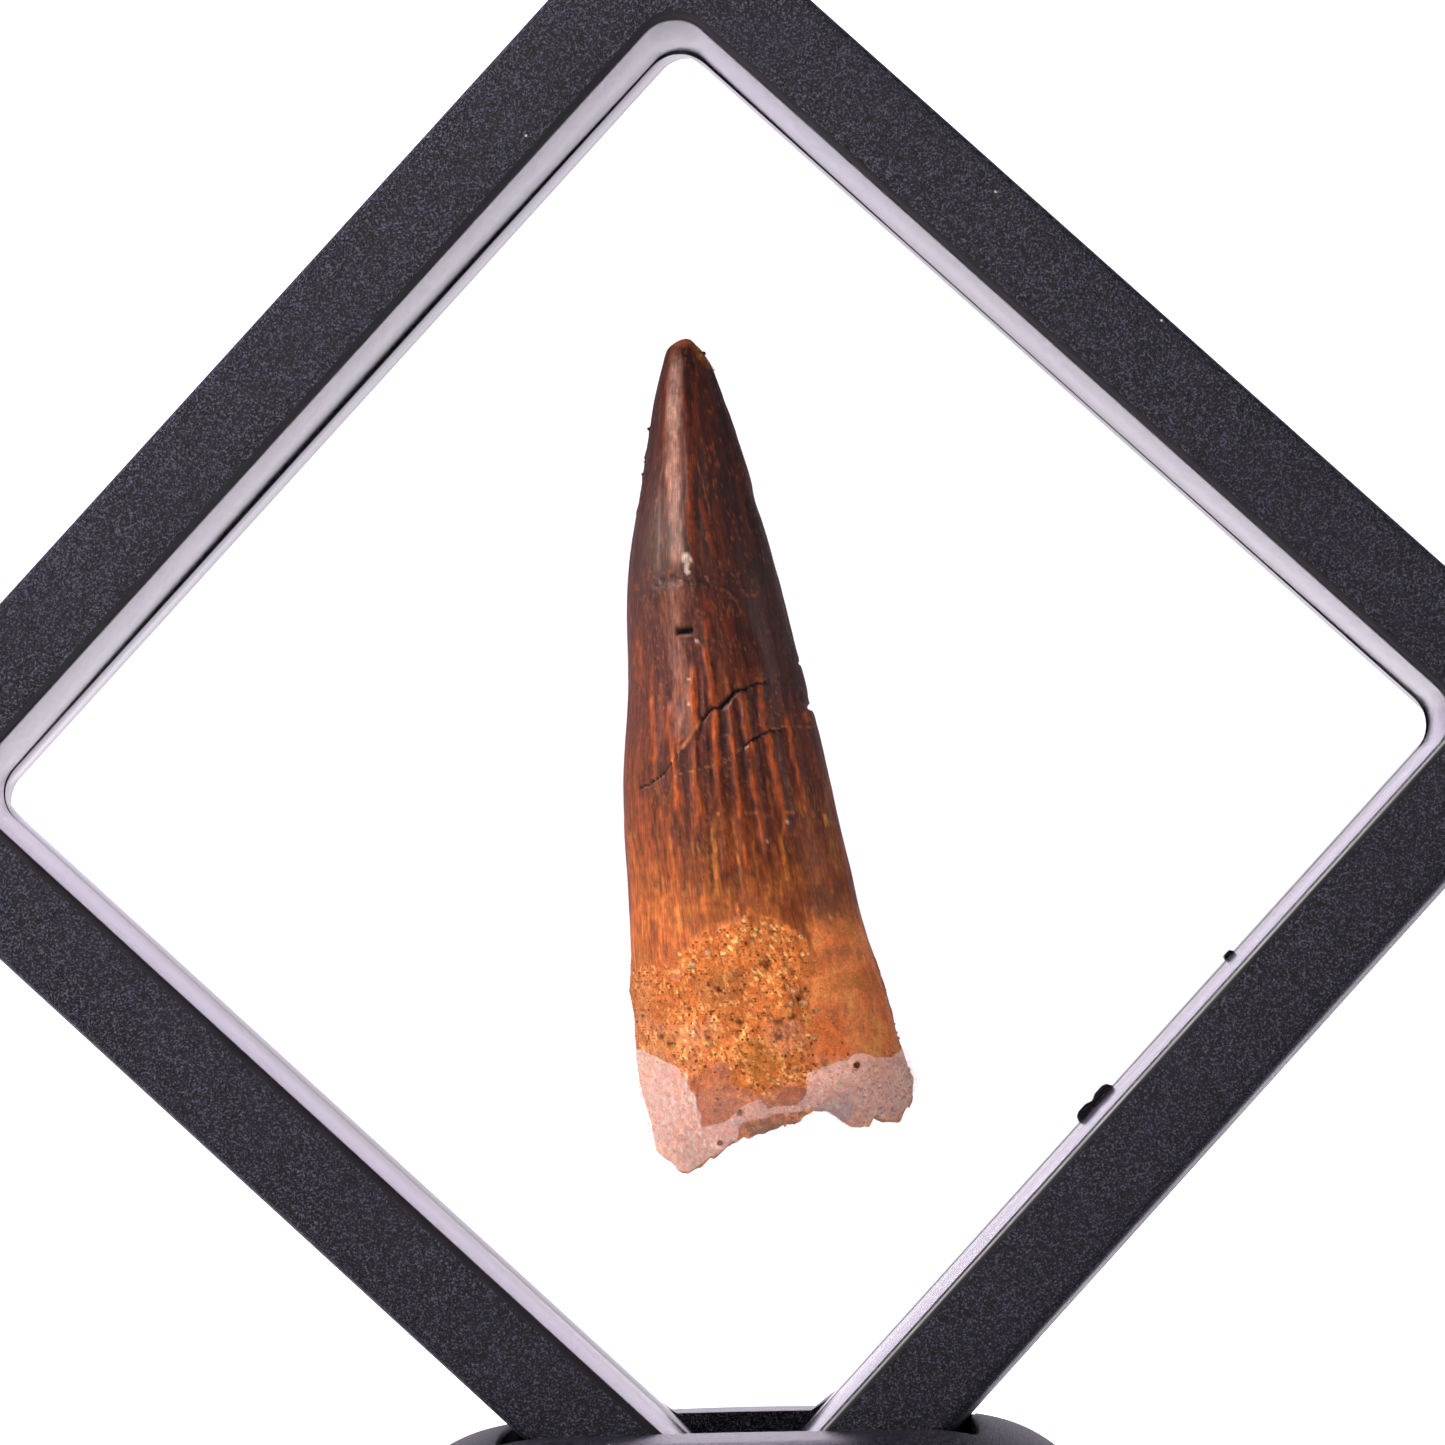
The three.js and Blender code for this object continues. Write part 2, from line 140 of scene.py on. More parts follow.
LATTICE = 64
LATTICES = {}


def noise(p, size, seed=0):
    """Smooth noise from -1 to 1 at points p, with lumps about size across (a number or x, y, z)."""
    if seed not in LATTICES:
        LATTICES[seed] = np.random.default_rng(seed).uniform(-1, 1, (LATTICE,) * 3)
    grid = LATTICES[seed]
    q = np.asarray(p) / np.asarray(size) + 17.3
    base = np.floor(q).astype(int)
    w = q - base
    w = w * w * w * (w * (6 * w - 15) + 10)
    total = 0
    for corner in product((0, 1), repeat=3):
        i, j, k = ((base + corner) % LATTICE).T
        wx, wy, wz = np.where(corner, w, 1 - w).T
        total = total + wx * wy * wz * grid[i, j, k]
    return total * 1.5


def layered(p, size, octaves, seed=0):
    total, strength, size = 0, 1.0, np.asarray(size, dtype=float)
    for k in range(octaves):
        total = total + strength * noise(p, size / 2**k, seed + k)
        strength *= 0.55
    return total


def cells(p, size, seed=0):
    """Distance to the nearest of points scattered one to a cell, and that point's own number."""
    rng = np.random.default_rng(seed)
    jitter = rng.uniform(0, 1, (32, 32, 32, 3))
    number = rng.uniform(0, 1, (32, 32, 32))
    q = np.asarray(p) / size + 9.1
    base = np.floor(q).astype(int)
    best = np.full(len(q), 9.0)
    own = np.zeros(len(q))
    for step in product((-1, 0, 1), repeat=3):
        cell = base + step
        i, j, k = (cell % 32).T
        d = np.linalg.norm(cell + jitter[i, j, k] - q, axis=1)
        near = d < best
        best = np.where(near, d, best)
        own = np.where(near, number[i, j, k], own)
    return best, own


def off_line(x, z, line):
    """Distance of each point from a line of (x, z) points, and how far along it, from 0 to 1."""
    best, along = np.full(x.shape, 1e9), np.zeros(x.shape)
    for n, (a, b) in enumerate(zip(line, line[1:])):
        ax, az, bx, bz = a[0], a[1], b[0], b[1]
        length = (bx - ax)**2 + (bz - az)**2
        t = np.clip(((x - ax) * (bx - ax) + (z - az) * (bz - az)) / length, 0, 1)
        d = np.hypot(x - ax - t * (bx - ax), z - az - t * (bz - az))
        along = np.where(d < best, (n + t) / (len(line) - 1), along)
        best = np.minimum(best, d)
    return best, along


def linear(*rgb):
    """A screen colour from 0 to 255 as the linear colour that shaders use."""
    c = np.array(rgb, dtype=float) / 255
    return np.where(c <= 0.04045, c / 12.92, ((c + 0.055) / 1.055)**2.4)


# Meshes

def grid_faces(rows, columns, closed):
    """Quads between the rows of a grid of points; closed joins the last column to the first."""
    r = np.arange(rows - 1)[:, None]
    c = np.arange(columns if closed else columns - 1)[None, :]
    d = (c + 1) % columns
    quads = np.stack([r * columns + c, (r + 1) * columns + c,
                      (r + 1) * columns + d, r * columns + d], axis=-1)
    return quads.reshape(-1, 4)


def make_piece(name, points, faces, material, nodes=(), attributes=None, flip=False):
    mesh = bpy.data.meshes.new(name)
    faces = [tuple(int(i) for i in (f[::-1] if flip else f)) for f in faces]
    mesh.from_pydata((np.asarray(points) * MM).tolist(), [], faces)
    mesh.update()
    mesh.polygons.foreach_set("use_smooth", [True] * len(mesh.polygons))
    for key, values in (attributes or {}).items():
        kind, part = {"tint": ("FLOAT_COLOR", "color"), "fibre": ("FLOAT_VECTOR", "vector")}.get(
            key, ("FLOAT", "value"))
        if key == "tint":
            values = np.column_stack([values, np.ones(len(values))])
        mesh.attributes.new(key, kind, "POINT").data.foreach_set(part, np.ravel(values))
    mesh.materials.append(material)
    piece = bpy.data.objects.new(name, mesh)
    bpy.context.scene.collection.objects.link(piece)
    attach(piece, "root")
    if nodes:
        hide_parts(*nodes)
    return piece


def paint_faces(piece, material, indices):
    """Gives some faces of a piece one more material."""
    piece.data.materials.append(material)
    for i in indices:
        piece.data.polygons[i].material_index = len(piece.data.materials) - 1


# Materials

class Nodes:
    """A short way to write the nodes of a material, or of a world given as owner."""

    def __init__(self, name, owner=None, shader="Principled BSDF", place="Object"):
        self.owner = owner or bpy.data.materials.new(name)
        self.owner.use_nodes = True
        self.tree = self.owner.node_tree
        self.shader = self.tree.nodes[shader]
        self.place = self.add("ShaderNodeTexCoord").outputs[place]

    def add(self, kind, **settings):
        node = self.tree.nodes.new(kind)
        for key, value in settings.items():
            setattr(node, key, value)
        return node

    def link(self, value, socket):
        if isinstance(value, bpy.types.NodeSocket):
            self.tree.links.new(value, socket)
        else:
            socket.default_value = value

    def set(self, **values):
        """Sets the shader's inputs, and gives back the finished material."""
        self.fill(self.shader, **values)
        return self.owner

    def fill(self, node, **values):
        for key, value in values.items():
            self.link(value, node.inputs[key.replace("_", " ")])
        return node

    def feed(self, sockets, *values):
        for socket, value in zip(sockets, values):
            self.link(value, socket)

    def axes(self):
        return self.fill(self.add("ShaderNodeSeparateXYZ"), Vector=self.place).outputs

    def stretch(self, scale):
        node = self.fill(self.add("ShaderNodeMapping"), Vector=self.place, Scale=scale)
        return node.outputs["Vector"]

    def noise(self, size, detail=3.0, roughness=0.5, distortion=0.0, place=None):
        """Noise with lumps about size mm across."""
        node = self.add("ShaderNodeTexNoise")
        self.fill(node, Vector=place or self.place, Scale=1 / (size * MM), Detail=detail,
                  Roughness=roughness, Distortion=distortion)
        return node.outputs["Fac"]

    def cells(self, size):
        node = self.add("ShaderNodeTexVoronoi")
        return self.fill(node, Vector=self.place, Scale=1 / (size * MM)).outputs["Distance"]

    def math(self, operation, *values):
        node = self.add("ShaderNodeMath", operation=operation)
        self.feed(node.inputs, *values)
        return node.outputs[0]

    def fit(self, value, low, high, out_low=0.0, out_high=1.0):
        node = self.add("ShaderNodeMapRange", interpolation_type="SMOOTHSTEP")
        return self.fill(node, Value=value, From_Min=low, From_Max=high, To_Min=out_low,
                         To_Max=out_high).outputs["Result"]

    def mix(self, factor, a, b, blend="MIX"):
        node = self.add("ShaderNodeMix", data_type="RGBA", blend_type=blend)
        a, b = (c if isinstance(c, bpy.types.NodeSocket) else (*c, 1.0) for c in (a, b))
        self.feed((node.inputs[0], *node.inputs[6:8]), factor, a, b)
        return node.outputs[2]

    def attribute(self, name, output="Fac"):
        return self.add("ShaderNodeAttribute", attribute_name=name).outputs[output]

    def bump(self, height, distance, strength=1.0, **below):
        node = self.add("ShaderNodeBump")
        return self.fill(node, Height=height, Strength=strength, Distance=distance * MM,
                         **below).outputs["Normal"]


def moulded_black(name, grain, dust, shades, depth, gloss, ior, worn=None):
    """Black plastic with a fine spark-eroded grain and a little dust on it.

    worn is how far to each side of the middle, in mm, the grain is rubbed smooth.
    """
    m = Nodes(name)
    height = m.noise(grain, detail=3.0, roughness=0.7)
    cloud = m.noise(6.0, detail=3.0)
    speck = m.fit(m.cells(2.6), 0.035, 0.06, 1.0, 0.0)
    lit = m.math("MULTIPLY", speck, m.fit(m.noise(1.7, detail=0.0), 0.52, 0.6))
    lit = m.math("MULTIPLY", lit, dust)
    # the grain's pale tops are partly the plastic's own tone and partly painted glints off the
    # grain
    tone = m.mix(m.fit(height, 0.475, 0.69), linear(*shades[0]), linear(*shades[1]))
    tone = m.mix(m.fit(cloud, 0.35, 0.7, 0.0, 0.2), tone, linear(22, 20, 32))
    m.set(Base_Color=m.mix(lit, tone, linear(190, 180, 172)))
    rough, strength = m.fit(cloud, 0.3, 0.7, gloss, gloss + 0.07), 0.9
    if worn:
        aside, change = m.math("ABSOLUTE", m.axes()["X"]), 5
        start, end = (worn - change) * MM, (worn + change) * MM
        rough = m.fit(aside, start, end, 0.55 * gloss, gloss)
        strength = m.fit(aside, start, end, 0.2, 1.0)
    return m.set(Roughness=rough, Normal=m.bump(height, depth, strength), IOR=ior)


def edge_black():
    """The rounded edges of the opening, rubbed smoother than the faces."""
    m = Nodes("edge_black")
    cloud = m.noise(2.0, detail=2.0)
    return m.set(Base_Color=m.mix(cloud, linear(16, 13, 18), linear(23, 19, 25)),
                 Roughness=m.fit(cloud, 0.3, 0.7, 0.38, 0.44), IOR=1.4)


def wall_black():
    """The smoother drafted walls of the frame, which mirror the bright room behind them."""
    m = Nodes("wall_black")
    fine = m.noise(0.13, detail=1.0, place=m.stretch((1, 0.25, 1)))
    return m.set(Base_Color=m.mix(fine, linear(27, 20, 37), linear(37, 31, 46)),
                 Roughness=m.fit(fine, 0.3, 0.7, 0.16, 0.185), IOR=1.44)


def slot_black():
    """The smooth glossy inside of the slot."""
    m = Nodes("slot_black")
    return m.set(Base_Color=m.mix(m.noise(1.5), linear(8, 8, 10), linear(14, 13, 16)),
                 Roughness=m.fit(m.noise(2.5), 0.3, 0.7, 0.16, 0.26), IOR=1.5)


# Where the film stands off the tooth it looks milky, partly from the film's own haze and partly as
# a painted reflection off the air gap: heights of the milky area's upper and lower border at each
# x, from the middle of the frame
VEIL_TOP = pairs(
    -6.6, -20.3, -5.9, -20.5, -4.9, -20.95, -4.1, -21.45, -2.95, -22.05, -2.1, -23.3, -1.7, -24.1,
    -1.45, -25.35, -1.3, -26.3, -0.75, -26.2, 0.7, -25.8, 1.3, -25.1, 1.85, -24.75, 3.0, -24.35,
    3.45, -25.15, 3.95, -24.8, 4.7, -24.95, 5.65, -24.8, 6.15, -24.2, 6.25, -22.6, 7.5, -22.25,
    8.6, -21.85, 9.1, -21.8, 9.65, -21.35, 10.5, -21.4, 11.2, -21.7, 12.2, -21.7, 13.0, -21.1,
    13.3, -21.1, 14.0, -23.4, 14.6, -25)
VEIL_BOTTOM = pairs(
    -6.6, -20.2, -6.05, -20.4, -5.85, -22.6, -5.55, -24.4, -5.25, -26, -4.8, -27.8, -4.1, -28.5,
    -3.3, -29.2, -2.4, -29.5, -1.5, -28.9, -0.6, -28.3, 0.35, -27.9, 0.5, -27.55, 1.25, -27.1,
    1.35, -26.3, 1.85, -25.9, 3.25, -25.7, 4.1, -25.45, 5.35, -25.4, 6.4, -25.1, 6.75, -25.2,
    7.9, -25.65, 8.5, -26.2, 9.35, -26.6, 10.2, -26.4, 11.1, -25.6, 11.75, -26, 12.4, -26.1,
    12.85, -25.5, 13.4, -24.9, 14.0, -23.6, 14.6, -22)
VEIL_BOX = (-6.6, 14.6, -31.0, -20.0)


CLEAR = (0.99, 0.985, 0.99)


def clear_film():
    """The film where nothing touches it."""
    m = Nodes("clear_film")
    return m.set(Base_Color=(*CLEAR, 1.0), Roughness=0.015, Transmission_Weight=1.0, IOR=1.4)


def milky_film():
    """Clear elastic film, milky and rough where it stands off the tooth's broken end; the milky
    colour is partly the film's haze and partly a painted reflection off the air gap.
    """
    m = Nodes("milky_film")
    place = m.axes()
    wobble = m.math("MULTIPLY", m.math("SUBTRACT", m.noise(0.7, detail=2.0), 0.5), 0.5 * MM)
    x0, x1, z0, z1 = VEIL_BOX
    x = m.math("ADD", place["X"], wobble)
    x = m.math("DIVIDE", m.math("SUBTRACT", x, x0 * MM), (x1 - x0) * MM)
    z = m.math("SUBTRACT", m.math("ADD", place["Z"], wobble), CENTRE_Z * MM)
    z = m.math("DIVIDE", m.math("SUBTRACT", z, z0 * MM), (z1 - z0) * MM)

    def border(points):
        node = m.add("ShaderNodeFloatCurve")
        curve = node.mapping.curves[0]
        while len(curve.points) < len(points):
            curve.points.new(0.5, 0.5)
        for point, (px, pz) in zip(curve.points, points):
            point.location = ((px - x0) / (x1 - x0), (pz - z0) / (z1 - z0))
            point.handle_type = "VECTOR"
        node.mapping.update()
        m.link(x, node.inputs["Value"])
        return node.outputs[0]

    edge = 0.12 / (z1 - z0)
    below_top = m.fit(m.math("SUBTRACT", border(VEIL_TOP), z), -edge, edge)
    above_bottom = m.fit(m.math("SUBTRACT", z, border(VEIL_BOTTOM)), -edge, edge)
    flat = m.fill(m.add("ShaderNodeCombineXYZ"), X=place["X"], Z=place["Z"]).outputs[0]
    veil = m.math("MULTIPLY", below_top, above_bottom)
    for hx, hz, size in BEADS:
        hole = m.add("ShaderNodeVectorMath", operation="DISTANCE")
        m.feed(hole.inputs, flat, (hx * MM, 0, (CENTRE_Z + hz) * MM))
        veil = m.math("MULTIPLY", veil, m.fit(hole.outputs["Value"], size * 0.8 * MM,
                                              size * 1.3 * MM))
    in_front = m.math("LESS_THAN", place["Y"], -2.0 * MM)
    inside = m.math("MULTIPLY", m.math("GREATER_THAN", x, 0.001), m.math("LESS_THAN", x, 0.999))
    for part in (in_front, inside, m.attribute("outer")):
        veil = m.math("MULTIPLY", veil, part)
    patchy = m.fit(m.noise(2.4, detail=4.0), 0.3, 0.7, 0.72, 1.0)
    veil = m.math("MULTIPLY", veil, patchy)
    grains = m.fit(m.noise(0.34, detail=2.5, roughness=0.65), 0.34, 0.68)
    # the milk is partly the film's own haze and partly a painted reflection off the air gap
    milk = m.mix(grains, linear(226, 182, 168), linear(252, 238, 234))
    return m.set(Base_Color=m.mix(veil, CLEAR, milk), Roughness=m.fit(veil, 0.0, 1.0, 0.015, 0.03),
                 Transmission_Weight=m.fit(veil, 0.0, 1.0, 1.0, 0.74), IOR=1.4)


def fossil():
    """Enamel and matrix: the mesh carries the colours, and noise adds what is finer."""
    m = Nodes("fossil")
    tint = m.attribute("tint", "Color")
    sand = m.attribute("sand")
    dull = m.attribute("dull")
    fibre = m.attribute("fibre", "Vector")
    streak = m.noise(0.16, detail=2.5, roughness=0.65, distortion=0.3, place=fibre)
    mottle = m.noise(0.45, detail=4.0, roughness=0.7)
    speckle = m.noise(0.15, detail=2.0, roughness=0.6)
    enamel = m.mix(m.fit(streak, 0.34, 0.68), (0.58, 0.46, 0.38), (1.06, 0.86, 0.6))
    grit = m.mix(m.fit(speckle, 0.32, 0.7), (0.88, 0.77, 0.63), (1.28, 1.25, 1.18))
    shade = m.mix(sand, enamel, grit)
    colour = m.mix(1.0, tint, shade, "MULTIPLY")
    cloud = m.mix(m.fit(mottle, 0.3, 0.7), (0.78, 0.74, 0.72), (1.2, 1.18, 1.12))
    m.set(Base_Color=m.mix(0.8, colour, m.mix(1.0, colour, cloud, "MULTIPLY")))
    rough = m.add("ShaderNodeMix", data_type="FLOAT")
    m.feed((rough.inputs[0], *rough.inputs[2:4]), dull, m.fit(mottle, 0.3, 0.7, 0.3, 0.46), 0.85)
    lines = m.bump(streak, 0.025, m.fit(sand, 0.0, 1.0, 0.9, 0.1))
    grit_bump = m.bump(speckle, 0.04, m.fit(sand, 0.0, 1.0, 0.15, 0.5), Normal=lines)
    return m.set(Roughness=rough.outputs[0], IOR=1.42, Normal=grit_bump)


# Frame halves

def square_loop(half, radius, y, bow, shift, side_steps=36, corner_steps=14):
    """Points round a square with round corners, at depth y, before it stands on its corner."""
    points = []
    straight = half - radius
    for side in range(4):
        turn = side * math.pi / 2
        cos, sin = math.cos(turn), math.sin(turn)
        run = [(half + bow[side] * (1 - t * t), t * straight)
               for t in np.linspace(-1, 1, side_steps, endpoint=False)]
        run += [(straight + radius * math.cos(a), straight + radius * math.sin(a))
                for a in np.linspace(0, math.pi / 2, corner_steps, endpoint=False)]
        points += [(o * cos - s * sin + shift[0], y, o * sin + s * cos + shift[1])
                   for o, s in run]
    return points


def stand_up(points):
    """Turns points of the frame's own square on to its corner and lifts them into place."""
    p = np.asarray(points, dtype=float)
    cos, sin = math.cos(TILT), math.sin(TILT)
    return np.stack([p[:, 0] * cos - p[:, 2] * sin, p[:, 1],
                     p[:, 0] * sin + p[:, 2] * cos + CENTRE_Z], axis=1)


def rounded(profile, softness, steps=5):
    """Rounds each corner of a closed profile whose rows are lists of numbers."""
    rows = []
    for i, (here, size) in enumerate(zip(profile, softness)):
        if size == 0:
            rows.append(here)
            continue
        a, c = (lerp(here, other, min(0.45, size / math.hypot(*(other[:2] - here[:2]))))
                for other in (profile[i - 1], profile[(i + 1) % len(profile)]))
        rows += [(1 - t)**2 * a + 2 * t * (1 - t) * here + t * t * c
                 for t in np.linspace(0, 1, steps + 1)]
    return rows


def frame_half(side):
    """Points and faces of a half, and which faces are the wall and the edge of its opening."""
    face, parting, rebate = side * HALF_DEPTH, side * GAP / 2, side * (GAP / 2 + 0.1)
    outer_face = OUTER_HALF - HALF_DEPTH * math.tan(OUTER_DRAFT)
    still = (0, 0)
    draft, corners, bow, shift, face_shift = (
        (FRONT_DRAFT, FRONT_CORNERS, FRONT_BOW, still, still) if side < 0
        else (BACK_DRAFT, BACK_CORNERS, (0, 0, 0, 0), BACK_SHIFT, BACK_FACE_SHIFT))

    def row(half, y, radius, bows=(0, 0, 0, 0), move=still):
        return np.array([half, y, radius, *bows, *move], dtype=float)

    profile = [
        row(OUTER_HALF, parting, OUTER_CORNER),
        row(outer_face, face, OUTER_CORNER - (OUTER_HALF - outer_face)),
        row(PARTING_OPENING + HALF_DEPTH * math.tan(draft), face, corners[0], move=face_shift),
        row(PARTING_OPENING, rebate, corners[1], bow, shift),
        row(REBATE_HALF, rebate, 0.8),
        row(REBATE_HALF, parting, 0.8),
    ]
    rows = rounded(profile, [0.15, 0.9, 0.55, 0.08, 0, 0.05])
    loops = np.array([square_loop(r[0], max(r[2], 0.3), r[1], r[3:7], r[7:9]) for r in rows])
    points = loops.reshape(-1, 3)
    columns = loops.shape[1]
    faces = grid_faces(len(loops) + 1, columns, True) % len(points)
    # rows 12 to 17 of the points are the opening's rounded edge, 18 to 23 the foot of its wall
    edge_start, wall_start, wall_end = 12 * columns, 16 * columns, 23 * columns
    return points, faces, range(wall_start, wall_end), range(edge_start, wall_start)


def bump_on_wall(along, width, proud, lobes):
    """A low moulded bump with round lobes on the inside of the back half's lower right side."""
    t = np.linspace(-1, 1, 10 * lobes + 1)
    lobe = np.abs(np.sin((t + 1) * lobes * math.pi / 2))
    height = proud * (0.62 + 0.38 * np.minimum(lobe * 1.25, 1))
    height[[0, -1]] = 0
    y0 = GAP / 2 + 0.9
    rows = []
    for y, scale in ((y0, 0.7), (y0 + 0.12, 1.0), (y0 + 1.1, 1.0), (y0 + 1.25, 0.7)):
        top = np.stack([along + t * width / 2, np.full_like(t, y), height * scale], axis=1)
        rows += [top, top[::-1] * (1, 1, 0) - (0, 0, 0.6)]
    points = np.concatenate(rows)
    points[:, 2] += BACK_SHIFT[1] - PARTING_OPENING
    columns = 2 * len(t)
    return points, [*grid_faces(4, columns, True), np.arange(columns)[::-1],
                    np.arange(3 * columns, 4 * columns)]


def build_frame(material, wall_material, edge_material):
    for side, name in ((-1, "front_frame"), (1, "back_frame")):
        points, faces, walls, inner_edge = frame_half(side)
        if side > 0:
            faces = [*faces[:, ::-1]]
            for tab_points, tab_faces in (bump_on_wall(0.0, 3.5, 0.6, 2),
                                          bump_on_wall(14.3, 0.85, 0.3, 1)):
                faces += [f + len(points) for f in tab_faces]
                points = np.concatenate([points, tab_points])
        shell = make_piece(name + "_shell", stand_up(points), faces, material,
                           (name,))
        paint_faces(shell, wall_material, walls)
        paint_faces(shell, edge_material, inner_edge)


# Stand

def stand_height(r):
    """Height of the dome at radius r."""
    top = STAND_HEIGHT - CROWN
    rim = np.sqrt(np.clip(1 - ((r - TOP_RADIUS) / (STAND_RADIUS - TOP_RADIUS))**2, 0, 1))
    return np.where(r < TOP_RADIUS, STAND_HEIGHT - CROWN * (r / TOP_RADIUS)**2,
                    top - (top - STAND_FOOT) * (1 - rim))


def slot_loop(grow, count):
    """Points round the slot, grown outward by grow, spread evenly by angle from the middle."""
    a, b = SLOT_HALF_LENGTH + grow, SLOT_HALF_WIDTH + grow
    corner = 0.5 + grow
    points = []
    for k in range(count):
        angle = 2 * math.pi * k / count
        cx, cy = math.cos(angle), math.sin(angle)
        t = 1 / max(abs(cx) / a, abs(cy) / b)
        x, y = cx * t, cy * t
        ex, ey = abs(x) - (a - corner), abs(y) - (b - corner)
        if ex > 0 and ey > 0:
            short = corner / max(math.hypot(ex, ey), 1e-6)
            x = math.copysign(a - corner + ex * short, x)
            y = math.copysign(b - corner + ey * short, y)
        points.append((x, y))
    return np.array(points)


def build_stand(black, glossy):
    count = 288
    angle = np.arange(count) / count * 2 * math.pi
    ring = np.stack([np.cos(angle), np.sin(angle)], axis=1)
    blend_radius = 21.0
    rows = []

    def add(xy, z):
        rows.append(np.column_stack([xy, np.broadcast_to(z, count)]))

    # up the inside of the slot, over its rounded rim, and out across the dome
    rim = 0.35
    wall = slot_loop(0, count)
    edge_height = stand_height(np.linalg.norm(slot_loop(rim, count), axis=1))
    add(slot_loop(-1.2, count), SLOT_FLOOR)
    add(slot_loop(-0.3, count), SLOT_FLOOR)
    add(wall, SLOT_FLOOR + 0.3)
    add(wall, 0.5 * (SLOT_FLOOR + edge_height))
    slot_rows = len(rows)
    for t in np.linspace(0, math.pi / 2, 7):
        add(slot_loop(rim * (1 - math.cos(t)), count), edge_height - rim * (1 - math.sin(t)))
    start = slot_loop(rim, count)
    for t in np.linspace(0, 1, 10)[1:]:
        xy = lerp(start, ring * blend_radius, t)
        add(xy, stand_height(np.linalg.norm(xy, axis=1)))
    reach = math.acos((blend_radius - TOP_RADIUS) / (STAND_RADIUS - TOP_RADIUS))
    for t in np.linspace(0, 1, 26)[1:]:
        turn = lerp(math.pi / 2 - reach, math.pi / 2, t)
        r = TOP_RADIUS + (STAND_RADIUS - TOP_RADIUS) * math.sin(turn)
        add(ring * r, stand_height(np.array(r - 1e-9)))
    for r, z in ((STAND_RADIUS - 0.05, 0.45), (STAND_RADIUS - 0.3, 0.1), (STAND_RADIUS - 0.7, 0.0),
                 (STAND_RADIUS - 6, 0.0)):
        add(ring * r, z)
    points = np.concatenate(rows)
    # the flat underside and the slot's floor are closed with one face each
    faces = [*grid_faces(len(rows), count, True),
             np.arange(len(points) - count, len(points))[::-1], np.arange(count)]
    points[:, 0] += STAND_X
    stand = make_piece("stand_dome", points, faces, black, ("stand",))
    paint_faces(stand, glossy, [*range((slot_rows - 1) * count), len(faces) - 1])


# Tooth

